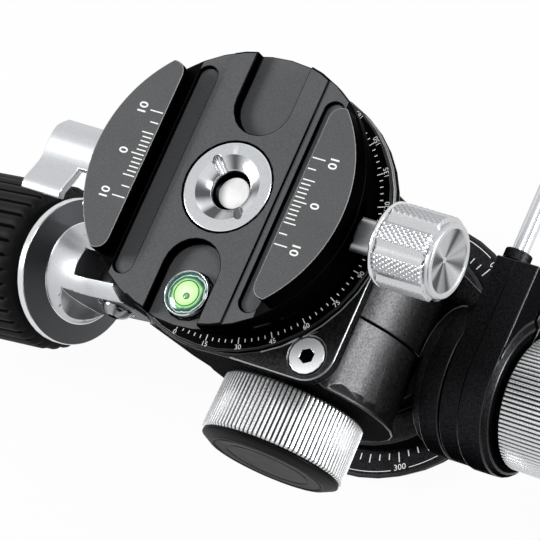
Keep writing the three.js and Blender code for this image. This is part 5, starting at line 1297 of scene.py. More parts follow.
@dataclass
class PanBase(Assembly):
    """Base disc with its degree scale, and what is fixed in it."""

    top: float = 6.0
    zero_angle: float = -1.8
    tick_step: int = 5
    mid_tick_step: int = 15
    numeral_step: int = 30
    tick_inner: float = 25.7
    tick_outer: float = 27.2
    mid_tick_outer: float = 27.7
    long_tick_outer: float = 28.1
    tick_width: float = 0.25
    numeral_radius: float = 29.3
    numeral_height: float = 1.45
    rim_highlight_radius: float = 29.8
    rim_highlight_width: float = 0.16
    rim_highlight_gap: float = 4.2

    def build(self) -> None:
        """Builds and dresses the base."""
        self.machine(
            "base_disc", "base", BLACK_ANODISED, BLACK_EDGE_HIGHLIGHT, "anodised_black", BROAD_EDGE, PAN_AXIS
        )
        self.polish(("thread_bush", "pan_retainer_nut"), STEEL)
        self.polish(("pan_friction_ring",), ACETAL)
        self.fit(self.scale(), "base", (INK,), "anodised_black")

    def scale(self) -> bpy.types.Object:
        """Draws a tick every five degrees, a number every thirty, and between the numbers a thin white arc
        near the rim, a painted highlight for the lit edge of a turned groove.

        Returns:
            The scale.
        """
        marks = ScaleMarks(self.top)
        for degrees in range(0, 360, self.tick_step):
            angle = degrees + self.zero_angle
            reach = self.tick_outer
            if degrees % self.numeral_step == 0:
                reach = self.long_tick_outer
            elif degrees % self.mid_tick_step == 0:
                reach = self.mid_tick_outer
            marks.tick(angle, self.tick_inner, reach, self.tick_width)
            if degrees % self.numeral_step == 0:
                marks.ring_numeral(degrees, angle, self.numeral_radius, self.numeral_height)
                # Painted highlight: a white arc standing for the lit edge of a turned groove near the rim
                rim_highlight_end = angle + self.numeral_step - self.rim_highlight_gap
                marks.arc(self.rim_highlight_radius, angle + self.rim_highlight_gap, rim_highlight_end, self.rim_highlight_width)
        return marks.finished("base_scale")


@dataclass
class PanStage(Assembly):
    """Turning platform with its arm and its lock."""

    def build(self) -> None:
        """Builds and dresses the platform."""
        self.machine(
            "pan_platform", "pan", BLACK_ANODISED, BLACK_EDGE_HIGHLIGHT, "anodised_black", BROAD_EDGE, PAN_AXIS
        )
        self.machine("pan_cover", "pan", BLACK_ANODISED, BLACK_EDGE_HIGHLIGHT, "anodised_black", THIN_EDGE, PAN_AXIS)
        self.machine("pan_arm", "pan", BLACK_ANODISED, BLACK_EDGE_HIGHLIGHT, "anodised_black", BROAD_EDGE)
        self.machine("pan_lock_knob", "pan_lock", SILVER, BRIGHT_RING, "satin_aluminium")
        self.polish(("arm_screw_front", "arm_screw_rear", "pan_lock_stud"), STEEL)
        self.polish(("tilt_bush",), BRASS)


@dataclass
class FlutedKnob(Assembly):
    """Turned knob with fine flutes and a chamfered black cap."""

    node: str = ""
    body: str = ""
    place: Matrix = field(default_factory=Matrix)
    inner_radius: float = 16.0
    outer_radius: float = 16.3
    length: float = 12.9
    flutes: int = KNOB_FLUTES
    depth: float = 0.42
    root_share: float = FLUTE_ROOT_SHARE
    samples: int = 8
    end_margin: float = 0.5
    end_drop: float = 0.6
    gap: float = 0.3
    cap_height: float = 1.8
    cap_step: float = 0.5
    cap_chamfer: float = 2.4
    groove_step: float = 0.6

    def outline(self, base: float, depth: float) -> Callable[[float], float]:
        """Makes the outline of the flutes, with wide crests and narrow roots.

        Args:
            base: Radius of the crests.
            depth: Depth of the roots.

        Returns:
            The radius at an angle.
        """
        def reach(angle: float) -> float:
            """Radius at this angle."""
            crest = 0.5 + 0.5 * math.cos(self.flutes * angle)
            return base - depth * (1 - min(1.0, crest / self.root_share))
        return reach

    def build(self) -> None:
        """Builds and dresses the knob and its cap."""
        growth = self.outer_radius - self.inner_radius
        end = self.length
        near = self.end_margin
        far = end - self.end_margin
        levels = [
            (0.0, self.outline(self.inner_radius - self.end_drop, 0)),
            (near, self.outline(self.inner_radius + growth * near / end, self.depth)),
            (end / 2, self.outline(self.inner_radius + growth / 2, self.depth)),
            (far, self.outline(self.inner_radius + growth * far / end, self.depth)),
            (end, self.outline(self.outer_radius - self.end_drop, 0)),
        ]
        shape = layered(levels, self.flutes * self.samples)
        grip = smooth(new_object(f"{self.node}_fluted", shape, self.place))
        self.fit(grip, self.body, (FLUTED,), "satin_aluminium", (self.node,))
        self.fit(self.cap(), self.body, (CAP_PLASTIC,), "black_plastic", (f"{self.node}_cap",))

    def cap(self) -> bpy.types.Object:
        """Turns the cap, with its chamfer, ring groove and sunk inner disc.

        Returns:
            The cap.
        """
        low = self.length + self.gap
        high = low + self.cap_height
        rim = self.outer_radius - self.cap_step
        flat = rim - self.cap_chamfer
        groove = flat - self.groove_step
        made = new_object(f"{self.node}_cap_turned", turned([
            (0, self.length), (rim - 1, self.length), (rim - 1, low), (rim, low), (rim, low + 0.5),
            (flat, high), (groove, high), (groove - 0.15, high - 0.35), (groove - 0.5, high - 0.35),
            (groove - 0.65, high - 0.05), (groove - 2.9, high - 0.12), (groove - 3.2, high - 0.3),
            (groove - 3.5, high - 0.3), (groove - 3.8, high - 0.12), (0, high - 0.2),
        ]), self.place)
        return ease_edges(made, SCREW_EDGE)


@dataclass
class TiltAxis(Assembly):
    """Middle body, split collar with its rod lever, and the roll axle in it."""

    rod_x: float = 44.0
    rod_z: float = 51.6

    def build(self) -> None:
        """Builds and dresses the pieces on the tilt axis."""
        # Middle body: black anodising painted lighter, a painted sheen
        self.machine("middle_body", "tilt", DRUM_PAINTED_SHEEN, BLACK_EDGE_HIGHLIGHT, "anodised_black", BROAD_EDGE)
        self.machine(
            "clamp_collar", "tilt", BLACK_ANODISED, BLACK_EDGE_HIGHLIGHT, "anodised_black", BROAD_EDGE, TILT_AXIS
        )
        self.machine("collar_screw", "tilt", BLACK_STEEL_AND_SHADE, STEEL, "bright_steel", SCREW_EDGE)
        self.machine("handle_tongue", "tilt", BLACK_ANODISED, BLACK_EDGE_HIGHLIGHT, "anodised_black", BROAD_EDGE)
        rod = towards_front(self.rod_x, 0, self.rod_z)
        self.machine("rod_lever", "tilt", SILVER, BRIGHT_RING, "satin_aluminium", BROAD_EDGE, rod)
        self.machine("rod_ring", "tilt", BLACK_ANODISED, BLACK_EDGE_HIGHLIGHT, "satin_aluminium", THIN_EDGE, rod)
        self.machine("roll_axle", "tilt", STEEL, STEEL, "bright_steel", THIN_EDGE, ROLL_AXIS)
        self.polish(("tilt_stud",), STEEL)


@dataclass
class UpperStage(Assembly):
    """Upper body with the rotator's scale, hub and lock."""

    plate_low: float = 79.0
    lug_side: float = 12.0
    screw_place: tuple[float, float, float] = (24.7, -25.7, 83.9)
    socket_radius: float = 1.8
    socket_below: float = -0.2
    zero_angle: float = -101.6
    tick_step: int = 3
    numeral_step: int = 15
    tick_inner: float = 28.6
    tick_outer: float = 29.35
    long_tick_inner: float = 28.2
    long_tick_outer: float = 29.6
    tick_width: float = 0.2
    numeral_radius: float = 30.35
    numeral_height: float = 1.15

    def build(self) -> None:
        """Builds and dresses the upper body and its scale ring."""
        # Upper body: drum finish painted lighter as a sheen, with a painted highlight on its broken edges
        body = self.machine("upper_body", "roll", DRUM_PAINTED_SHEEN, LUG_EDGE_HIGHLIGHT, "anodised_black", PLATE_EDGE)
        self.keep_lug_highlight(body)
        self.machine(
            "rotator_scale_ring", "roll", SCALE_BLACK, BLACK_EDGE_HIGHLIGHT, "anodised_black", NUT_EDGE, PAN_AXIS
        )
        screw = self.machine(
            "plate_screw", "roll", PALE_STEEL, BRIGHT_RING, "bright_steel", SCREW_EDGE,
            upright(*self.screw_place),
        )
        paint_socket_shade(screw, self.socket_radius, self.socket_below, BLACK_STEEL_AND_SHADE)
        self.machine("rotator_lock_knob", "rotator_lock", SILVER, BRIGHT_RING, "satin_aluminium")
        self.polish(("rotator_hub", "rotator_lock_stud"), STEEL)
        self.fit(self.scale(), "roll", (INK,), "anodised_black")

    def keep_lug_highlight(self, body: bpy.types.Object) -> None:
        """Keeps the painted highlight only on the lug's upper right edges, and gives the other broken edges
        the fainter painted highlight of the black pieces.

        Args:
            body: The upper body, which carries the plate.
        """
        # Painted highlight: only upper edges on the lug's right side stay bright
        dress(body, (BLACK_EDGE_HIGHLIGHT,))
        for face in body.data.polygons:
            at = face.center / MM
            if face.material_index == 1 and (at.z < self.plate_low or at.x < self.lug_side):
                face.material_index = 2

    def scale(self) -> bpy.types.Object:
        """Draws a tick every three degrees and a number every fifteen.

        Returns:
            The scale.
        """
        _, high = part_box("rotator_scale_ring")
        marks = ScaleMarks(high.z / MM)
        for degrees in range(0, 360, self.tick_step):
            angle = degrees + self.zero_angle
            if degrees % self.numeral_step:
                marks.tick(angle, self.tick_inner, self.tick_outer, self.tick_width)
                continue
            marks.tick(angle, self.long_tick_inner, self.long_tick_outer, self.tick_width)
            marks.ring_numeral(degrees, angle, self.numeral_radius, self.numeral_height)
        return marks.finished("rotator_scale")


class JawSide(enum.Enum):
    """Side of the clamp that a jaw scale lies on."""

    LEFT = -1
    RIGHT = 1


@dataclass
class QuickClamp(Assembly):
    """Clamp with its jaws, their scales, the ring nut and the clamp screw."""

    jaw_top: float = 104.9
    jaw_edge_depth: float = 0.4
    pad_top: float = 100.0
    pad_margin: float = 0.1
    jaw_gap: float = 18.3
    split_reach: float = 1e-7
    wall_slope: float = 0.5
    nut_radius: float = 10.1
    nut_flat: float = 7.4
    nut_hole: float = 4.5
    nut_height: float = 2.6
    cone_depth: float = 1.7
    notch_angles: tuple[float, float] = (135, -45)
    notch_slope: float = 0.28
    notch_depth: float = 2.3
    plug_low: float = 96.15
    plug_high: float = 96.5
    plug_radius: float = 3.5
    tick_inner: float = 18.9
    tick_width: float = 0.27
    short_tick: float = 2.3
    half_tick: float = 2.0
    mid_tick: float = 2.9
    long_tick: float = 3.2
    numeral_x: float = 24.0
    numeral_height: float = 2.1
    numeral_bold: float = 0.018

    def build(self) -> None:
        """Builds and dresses the clamp."""
        # Grey finish, a paler painted highlight on the top edges, and painted shade on walls and beside the
        # jaws
        for node, body in (("clamp_body", "clamp"), ("sliding_jaw", "jaw")):
            self.paint_wall_shade(
                self.machine(node, body, GREY_ANODISED, GREY_EDGE_HIGHLIGHT, "anodised_grey", CLAMP_EDGE)
            )
        self.fit(
            self.ring_nut(), "clamp", (SPUN, BRIGHT_RING, WHITE_RING), "satin_aluminium", ("centre_nut",)
        )
        # White disc in the nut's hole: painted light
        self.fit(self.plug(), "clamp", (HOLE_PAINTED_LIGHT,), "satin_aluminium")
        self.machine(
            "clamp_screw", "jaw_screw", SILVER, BRIGHT_RING, "bright_steel", place=CLAMP_SCREW_AXIS
        )
        self.polish(("guide_pin_front", "guide_pin_rear", "jaw_spring_front", "jaw_spring_rear"), STEEL)
        self.polish(("keeper_ring",), BRASS)
        self.fit(self.scale(JawSide.RIGHT), "clamp", (INK,), "anodised_grey")
        self.fit(self.scale(JawSide.LEFT), "jaw", (INK,), "anodised_grey")

    def paint_wall_shade(self, made: bpy.types.Object) -> None:
        """Paints shade on the walls, the low edges and the floor beside the jaws, which the light passes
        over.

        Args:
            made: The clamp body or the sliding jaw, whose faces are split at the jaws' feet.
        """
        cut = bmesh.new()
        cut.from_mesh(made.data)
        for floor_edge in (-self.jaw_gap, self.jaw_gap):
            bmesh.ops.bisect_plane(
                cut, geom=[*cut.verts, *cut.edges, *cut.faces], dist=self.split_reach,
                plane_co=(floor_edge * MM, 0, 0), plane_no=(1, 0, 0),
            )
        cut.to_mesh(made.data)
        cut.free()
        dress(made, (WALL_PAINTED_SHADE,))
        # Painted shade: steep walls, low broken edges and the floor beside the jaws take the nearly black
        # finish
        for face in made.data.polygons:
            at = face.center / MM
            low_edge = face.material_index == 1 and at.z < self.jaw_top - self.jaw_edge_depth
            beside = abs(at.x) > self.jaw_gap and at.z < self.pad_top + self.pad_margin
            if low_edge or beside or face.normal.z < self.wall_slope:
                face.material_index = 2

    def ring_nut(self) -> bpy.types.Object:
        """Turns the ring nut with its flat rim and cone, and cuts its two round spanner notches.

        Returns:
            The ring nut.
        """
        top = self.pad_top
        low = top - self.nut_height
        nut = new_object("centre_nut_turned", turned([
            (self.nut_hole, low), (self.nut_radius, low), (self.nut_radius, top - 0.15),
            (self.nut_radius - 0.15, top), (self.nut_flat, top), (self.nut_hole, top - self.cone_depth),
        ]), PAN_AXIS)
        cutters = []
        for turn in self.notch_angles:
            way = math.radians(turn)
            aim = Vector((math.cos(way), math.sin(way), self.notch_slope))
            slope = aim.to_track_quat("Z", "Y").to_matrix().to_4x4()
            cutters.append(new_object("spanner_notch", turned([
                (0, 2.5), (1.1, 2.5), (1.1, 7.4), (0.85, 8.1), (0.4, 8.5), (0, 8.6),
            ], NOTCH_STEPS), upright(0, 0, top - self.notch_depth) @ slope))
        cut_away(nut, cutters)
        dress(nut, (SPUN, BRIGHT_RING, WHITE_RING))
        ease_edges(nut, SCREW_EDGE, 1)
        for face in nut.data.polygons:
            if face.normal.z > FACING_UP:
                face.material_index = 2
        return nut

    def plug(self) -> bpy.types.Object:
        """Lays a thin white disc in the hole of the ring nut, painted light for the brightness seen down it.

        Returns:
            The plug.
        """
        low, high, radius = self.plug_low, self.plug_high, self.plug_radius
        return smooth(new_object("hole_light_disc", turned([
            (0, low), (radius, low), (radius, high - 0.05), (radius - 0.1, high), (0, high),
        ], SEAT_STEPS), PAN_AXIS))

    def scale(self, side: JawSide) -> bpy.types.Object:
        """Draws the scale of one jaw, ten millimetres either way.

        Args:
            side: The jaw.

        Returns:
            The scale.
        """
        marks = ScaleMarks(self.jaw_top)
        lengths = {0: self.long_tick, 5: self.mid_tick, 7.5: self.half_tick, 10: self.long_tick}
        lengths.update({near: self.short_tick for near in range(1, 5)})
        for distance, length in lengths.items():
            for way in (-1, 1):
                if distance == 0 and way < 0:
                    continue
                start = side.value * self.tick_inner
                end = start + side.value * length
                marks.stroke((start, way * distance), (end, way * distance), self.tick_width)
        for distance in (-10, 0, 10):
            marks.numeral(
                str(abs(distance)), (side.value * self.numeral_x, distance), -90 * side.value,
                self.numeral_height, self.numeral_bold,
            )
        return marks.finished(f"jaw_scale_{side.name.lower()}")


@dataclass
class ClampKnob(Assembly):
    """Knob of the clamp screw: eight smooth flutes between knurled panels, and a spun end."""

    start: float = 37.5
    length: float = 14.5
    radius: float = 9.2
    flutes: int = 8
    flute_radius: float = 2.9
    flute_depth: float = 0.75
    flange: float = 1.1
    bore_radius: float = 3.9
    end_radius: float = 8.2
    end_length: float = 1.2
    collar_edge: float = 0.1
    ring_edge: float = 0.06
    dish_radius: float = 7.0
    dish_depth: float = 1.3
    knurl_pitch: float = 1.15
    knurl_depth: float = 0.22
    knurl_slant: float = 0.8
    knurl_sharpness: float = 2.2
    groove: float = 1.0
    low_margin: float = 0.35
    high_margin: float = 0.45
    flute_margin: float = 0.02
    rows: int = 72
    steps: int = 640
    beyond: float = 1e3

    def flute_reach(self, angle: float) -> float:
        """Finds how far out the smooth flutes leave the metal.

        Args:
            angle: Angle round the knob.

        Returns:
            Radius of a flute at this angle, or a large value between the flutes.
        """
        pitch = 2 * math.pi / self.flutes
        near = (angle % pitch) - pitch / 2
        centre = self.radius + self.flute_radius - self.flute_depth
        inside = self.flute_radius**2 - (centre * math.sin(near)) ** 2
        return centre * math.cos(near) - math.sqrt(inside) if inside > 0 else self.beyond

    def surface(self, height: float) -> Callable[[float], float]:
        """Makes the outline of the gripping part.

        Args:
            height: Height along the knob.

        Returns:
            The radius at an angle.
        """
        def reach(angle: float) -> float:
            """Finds the surface: a smooth flute, or the pyramids of the knurl.

            Args:
                angle: Angle round the knob.

            Returns:
                The radius at this angle.
            """
            along = self.radius * angle
            first = (along + height * self.knurl_slant) / self.knurl_pitch
            second = (along - height * self.knurl_slant) / self.knurl_pitch
            rise = min(abs((first % 1) - 0.5), abs((second % 1) - 0.5)) * 2
            knurled = self.radius - self.knurl_depth * (1 - min(1.0, rise * self.knurl_sharpness))
            return min(knurled, self.flute_reach(angle))
        return reach

    def build(self) -> None:
        """Builds and dresses the knob."""
        grip_low = self.start + self.flange
        grip_high = self.start + self.length - self.end_length
        grip = self.grip(grip_low, grip_high)
        self.fit(grip, "jaw_screw", (KNURLED, MILLED), "satin_aluminium", ("clamp_knob",))
        low = self.start
        collar = ease_edges(new_object("clamp_knob_collar", turned([
            (self.bore_radius, low), (self.radius - 0.4, low), (self.radius, low + 0.4),
            (self.radius, grip_low - 0.1), (self.radius - 0.5, grip_low + 0.15),
            (self.bore_radius, grip_low + 0.15),
        ]), CLAMP_SCREW_AXIS), self.collar_edge)
        self.fit(collar, "jaw_screw", (BRIGHT_RING,), "satin_aluminium")
        high = self.start + self.length
        ring = ease_edges(new_object("clamp_knob_end_ring", turned([
            (0, grip_high - 0.3), (self.end_radius, grip_high - 0.3), (self.end_radius, high - 0.3),
            (self.end_radius - 0.3, high), (self.dish_radius, high), (self.dish_radius - 0.25, high - 0.35),
            (0, high - self.dish_depth - 0.1),
        ]), CLAMP_SCREW_AXIS), self.ring_edge)
        self.fit(ring, "jaw_screw", (SILVER,), "satin_aluminium")
        dish = smooth(new_object("clamp_knob_spun_dish", turned([
            (0, high - self.dish_depth - 0.05), (self.dish_radius - 0.25, high - 0.3),
            (self.dish_radius - 0.25, high - 0.27), (0, high - self.dish_depth),
        ]), CLAMP_SCREW_AXIS))
        self.fit(dish, "jaw_screw", (SPUN_END,), "satin_aluminium")

    def grip(self, low: float, high: float) -> bpy.types.Object:
        """Cuts the gripping part, with its knurled panels and smooth flutes.

        Args:
            low: Height that it starts at.
            high: Height that it ends at.

        Returns:
            The gripping part, its flutes in the second slot.
        """
        levels: list[tuple[float, Callable[[float], float]]] = [
            (low, lambda angle: self.radius - self.groove)
        ]
        for i in range(self.rows + 1):
            run = high - self.high_margin - low - self.low_margin
            height = low + self.low_margin + run * i / self.rows
            levels.append((height, self.surface(height)))
        levels.append((high, lambda angle: min(self.end_radius, self.flute_reach(angle))))
        made = new_object("clamp_knob_knurled", layered(levels, self.steps), CLAMP_SCREW_AXIS)
        smooth(made, ROUND_ANGLE)
        dress(made, (KNURLED, MILLED))
        fluted_below = self.radius - self.knurl_depth - self.flute_margin
        for face in made.data.polygons:
            at = face.center / MM
            if low < at.z < high and math.hypot(at.x, at.y) < fluted_below:
                face.material_index = 1
        return made


@dataclass
class BullseyeLevel(Assembly):
    """Round level: chromed ring, green liquid, black circle and bubble."""

    centre: tuple[float, float] = (1.0, -24.2)
    floor: float = 97.2
    radius: float = 5.1
    wall: float = 0.4
    height: float = 2.1
    edge: float = 0.05
    vial_angle: float = 60.0
    circle_inner: float = 2.75
    circle_outer: float = 2.93
    bubble_shift: tuple[float, float] = (0.3, -0.6)

    def build(self) -> None:
        """Builds and dresses the level."""
        place = upright(self.centre[0], self.centre[1], self.floor)
        inner = self.radius - self.wall
        ring = ease_edges(new_object("level_ring", turned([
            (inner, 0.15), (self.radius, 0.15), (self.radius, self.height - 0.1),
            (self.radius - 0.15, self.height + 0.1), (inner + 0.1, self.height), (inner, self.height - 0.4),
        ]), place), self.edge)
        self.fit(ring, "clamp", (CHROME,), "chromed_steel", ("level_bezel",))
        rim = inner - 0.05
        liquid = smooth(new_object("level_liquid", turned([
            (0, 0.2), (rim, 0.2), (rim, 1.3), (rim - 0.3, 1.55), (rim - 1.1, 1.8), (rim / 2, 1.95), (0, 2.0),
        ]), place), math.radians(self.vial_angle))
        self.fit(liquid, "clamp", (LIQUID,), "level_glass", ("level_vial",))
        circle = new_object("level_circle", turned([
            (self.circle_inner, 1.82), (self.circle_outer, 1.8), (self.circle_outer, 1.95),
            (self.circle_inner, 1.97),
        ]), place)
        self.fit(circle, "clamp", (PRINT_AND_SHADE_BLACK,), "level_glass")
        bubble_place = upright(
            self.centre[0] + self.bubble_shift[0], self.centre[1] + self.bubble_shift[1], self.floor
        )
        bubble = smooth(new_object("level_bubble", turned([
            (0, 1.9), (0.62, 1.9), (0.58, 2.0), (0.35, 2.05), (0, 2.07),
        ], HOLE_STEPS), bubble_place))
        self.fit(bubble, "clamp", (BUBBLE,), "level_glass")
        # Black ring round the bubble: painted shade for its edge
        outline = new_object("level_bubble_edge", turned([
            (0.6, 1.9), (0.74, 1.9), (0.74, 2.01), (0.6, 2.03),
        ], HOLE_STEPS), bubble_place)
        self.fit(outline, "clamp", (PRINT_AND_SHADE_BLACK,), "level_glass")


@dataclass
class FoldingHandle(Assembly):
    """Fork, screw, lock lever, spindle and ribbed grip of the folding handle."""

    neck_radius: float = 8.4
    flare_radius: float = 11.6
    flare_start: float = 4.5
    flare_end: float = 14.9
    flare_steps: int = 12
    flange_radius: float = 16.8
    flange_start: float = 17.0
    flange_end: float = 19.3
    end_radius: float = 8.6
    ear_flat: float = 13.7
    ear_half: float = 6.6
    slot_half: float = 3.3
    slot_depth: float = 8.5
    slot_share: float = 1.4
    rim_band: float = 0.3
    ear_facing: float = 0.9
    under_facing: float = -0.15
    seat_radius: float = 4.5
    seat_depth: float = 1.0
    bore_radius: float = 2.3
    screw_end: float = -13.2
    shank_radius: float = 1.9
    head_foot: float = 3.55
    head_radius: float = 3.68
    head_edge: float = 0.9
    head_dome: float = 2.3
    socket_radius: float = 1.45
    socket_margin: float = 0.01
    socket_floor: float = 1.4
    socket_top: float = 3.0
    screw_angle: float = 25.0
    ribs: int = 34
    rib_depth: float = 1.1
    rib_steps: int = 16
    groove_share: float = 0.5
    grip_radius: float = 18.8
    grip_start: float = 21.5
    grip_end: float = 64.0
    cap_radius: float = 15.8
    cap_edge: float = 0.7
    cap_dome: float = 3.0

    def build(self) -> None:
        """Builds and dresses the handle."""
        self.fit(
            self.fork(), "handle", (SILVER, SILVER_PAINTED_SHADE, BRIGHT_RING), "satin_aluminium", ("handle_fork",)
        )
        self.fit(
            self.domed_screw(), "handle", (SCREW_CHROME, BLACK_STEEL_AND_SHADE), "bright_steel", ("fold_screw",)
        )
        self.machine("fold_nut", "handle", STEEL, STEEL, "bright_steel", NUT_EDGE, FOLD_AXIS)
        self.machine(
            "lock_lever", "fold_lock", SILVER, BRIGHT_RING, "satin_aluminium", BROAD_EDGE, HANDLE_AXIS
        )
        self.machine("grip_spindle", "handle", STEEL, STEEL, "bright_steel", THIN_EDGE, HANDLE_AXIS)
        self.fit(self.grip(), "grip", (RUBBER, RUBBER_GROOVE_SHADE), "grip_rubber", ("handle_grip",))
        self.fit(self.cap(), "grip", (CAP_PLASTIC,), "black_plastic", ("grip_cap",))

    def fork(self) -> bpy.types.Object:
        """Turns the fork and mills its slot, its ear faces and the screw's seat.

        Returns:
            The fork.
        """
        end = self.end_radius
        flare = []
        for i in range(self.flare_steps + 1):
            share = i / self.flare_steps
            height = self.flare_start + (self.flare_end - self.flare_start) * share
            flare.append((self.neck_radius + (self.flare_radius - self.neck_radius) * share**2, height))
        body = new_object("handle_fork_turned", turned([
            (0, -end), (self.neck_radius, -end), *flare,
            (self.flange_radius, self.flange_start), (self.flange_radius, self.flange_end - 0.5),
            (self.flange_radius - 0.5, self.flange_end), (0, self.flange_end),
        ], FORK_STEPS), HANDLE_AXIS)
        reach = self.flange_radius + 1
        far = reach + 3
        block = box_shape((-reach, -far, -end - 2), (reach, far, 0))
        corner = new_object("pivot_corner", block, HANDLE_AXIS)
        roller = [(0, -far - 1), (end, -far - 1), (end, far + 1), (0, far + 1)]
        cut_away(corner, [new_object("pivot_round", turned(roller), FOLD_AXIS)])
        low = self.slot_share * end
        slot = box_shape((-reach, -self.slot_half, -low), (reach, self.slot_half, self.slot_depth))
        front = [(0, self.ear_half), (self.ear_flat, self.ear_half), (self.ear_flat, reach), (0, reach)]
        rear = [(radius, -height) for radius, height in reversed(front)]
        hole = self.bore_radius
        bore = [(0, -reach - 1), (hole, -reach - 1), (hole, reach + 1), (0, reach + 1)]
        sunk = self.ear_half - self.seat_depth
        seat = [(0, sunk), (self.seat_radius, sunk), (self.seat_radius, reach + 2), (0, reach + 2)]
        cut_away(body, [
            corner,
            new_object("fork_slot", slot, HANDLE_AXIS),
            new_object("ear_face_front", turned(front), FOLD_AXIS),
            new_object("ear_face_rear", turned(rear), FOLD_AXIS),
            new_object("fork_bore", turned(bore, HOLE_STEPS), FOLD_AXIS),
            new_object("screw_seat", turned(seat, SEAT_STEPS), FOLD_AXIS),
        ])
        dress(body, (SILVER, SILVER_PAINTED_SHADE, BRIGHT_RING))
        ease_edges(body, CLAMP_EDGE, 2)
        self.paint_fork_shade(body)
        return body

    def paint_fork_shade(self, body: bpy.types.Object) -> None:
        """Paints shade on the fork's flat faces, its underside and the back of its flange, and brightens the
        flange's rim.

        Args:
            body: The fork.
        """
        # Painted shade: flat ear faces, downward faces and the flange's back take the darker silver
        for face in body.data.polygons:
            at = face.center / MM
            radius = math.hypot(at.x, at.y)
            if face.material_index == 2 and radius > self.flare_radius:
                continue
            if radius > self.flange_radius - self.rim_band:
                face.material_index = 2
            elif radius > self.flare_radius + 0.1 and at.z < self.flange_end - 1:
                face.material_index = 1
            elif abs(face.normal.y) > self.ear_facing or (at.z < 0 and face.normal.z < self.under_facing):
                face.material_index = 1
            else:
                face.material_index = 0

    def domed_screw(self) -> bpy.types.Object:
        """Turns the domed screw of the fold and cuts its socket.

        Returns:
            The screw, its socket painted dark as shade in the second slot.
        """
        seat = self.ear_half - self.seat_depth
        edge = seat + self.head_edge
        dome = [
            (self.head_radius * math.cos(math.radians(a)), edge + self.head_dome * math.sin(math.radians(a)))
            for a in range(0, 75, 8)
        ]
        screw = new_object("fold_screw_domed", turned([
            (0, self.screw_end), (self.shank_radius, self.screw_end), (self.shank_radius, seat),
            (self.head_foot, seat), *dome, (0, edge + self.head_dome),
        ], SEAT_STEPS), FOLD_AXIS)
        floor = seat + self.socket_floor
        socket = [(0, floor), (self.socket_radius, floor), (self.socket_radius, 12), (0, 12)]
        cut_away(screw, [new_object("screw_socket", turned(socket, HEX_SIDES), FOLD_AXIS)])
        dress(screw, (SCREW_CHROME, BLACK_STEEL_AND_SHADE))
        # Painted shade: the faces inside the hex socket take the black finish
        for face in screw.data.polygons:
            at = face.center / MM
            inside = math.hypot(at.x, at.y) < self.socket_radius - self.socket_margin
            if inside and seat < at.z < seat + self.socket_top:
                face.material_index = 1
        return smooth(screw, math.radians(self.screw_angle))

    def grip(self) -> bpy.types.Object:
        """Moulds the grip with its rounded ribs and eased ends.

        Returns:
            The grip, its grooves, painted black as shade, in the second slot.
        """
        def outline(base: float, depth: float) -> Callable[[float], float]:
            """Makes a ribbed outline with crests at this radius and grooves of this depth."""
            return lambda angle: base - depth * (1 - abs(math.cos(self.ribs * angle / 2)) ** 0.6)
        start, end, top, deep = self.grip_start, self.grip_end, self.grip_radius, self.rib_depth
        levels = [
            (start, outline(top - 2.2, 0)), (start + 0.5, outline(top - 1.1, deep * 0.2)),
            (start + 1.4, outline(top - 0.25, deep * 0.9)), (start + 2.4, outline(top, deep)),
            (end - 2.4, outline(top, deep)), (end - 1.2, outline(top - 0.3, deep * 0.8)),
            (end - 0.4, outline(top - 1.0, deep * 0.3)), (end, outline(top - 1.9, 0)),
        ]
        made = new_object("handle_grip_moulded", layered(levels, self.ribs * self.rib_steps), HANDLE_AXIS)
        dress(made, (RUBBER, RUBBER_GROOVE_SHADE))
        groove = top - self.groove_share * deep
        # Painted shade: faces deep in the grooves take the black groove finish
        for face in made.data.polygons:
            at = face.center / MM
            if start + 1.4 < at.z < end - 1.2 and math.hypot(at.x, at.y) < groove:
                face.material_index = 1
        return smooth(made, ROUND_ANGLE)

    def cap(self) -> bpy.types.Object:
        """Moulds the domed end cap.

        Returns:
            The cap.
        """
        low = self.grip_end - 0.5
        edge = self.grip_end + self.cap_edge
        dome = [
            (self.cap_radius * math.cos(math.radians(a)), edge + self.cap_dome * math.sin(math.radians(a)))
            for a in range(0, 90, 9)
        ]
        made = new_object("grip_cap_moulded", turned([
            (0, low), (self.cap_radius, low), *dome, (0, edge + self.cap_dome),
        ]), HANDLE_AXIS)
        return smooth(made)


# Studio


@dataclass(frozen=True)
class SoftLamp:
    """A soft box: where it stands, how wide it is and how bright."""

    name: str
    place: tuple[float, float, float]
    size: float
    power: float


@dataclass(frozen=True)
class DarkCard:
    """A black card out of the picture, which metal shows as its dark side."""

    name: str
    place: tuple[float, float, float]
    size: float


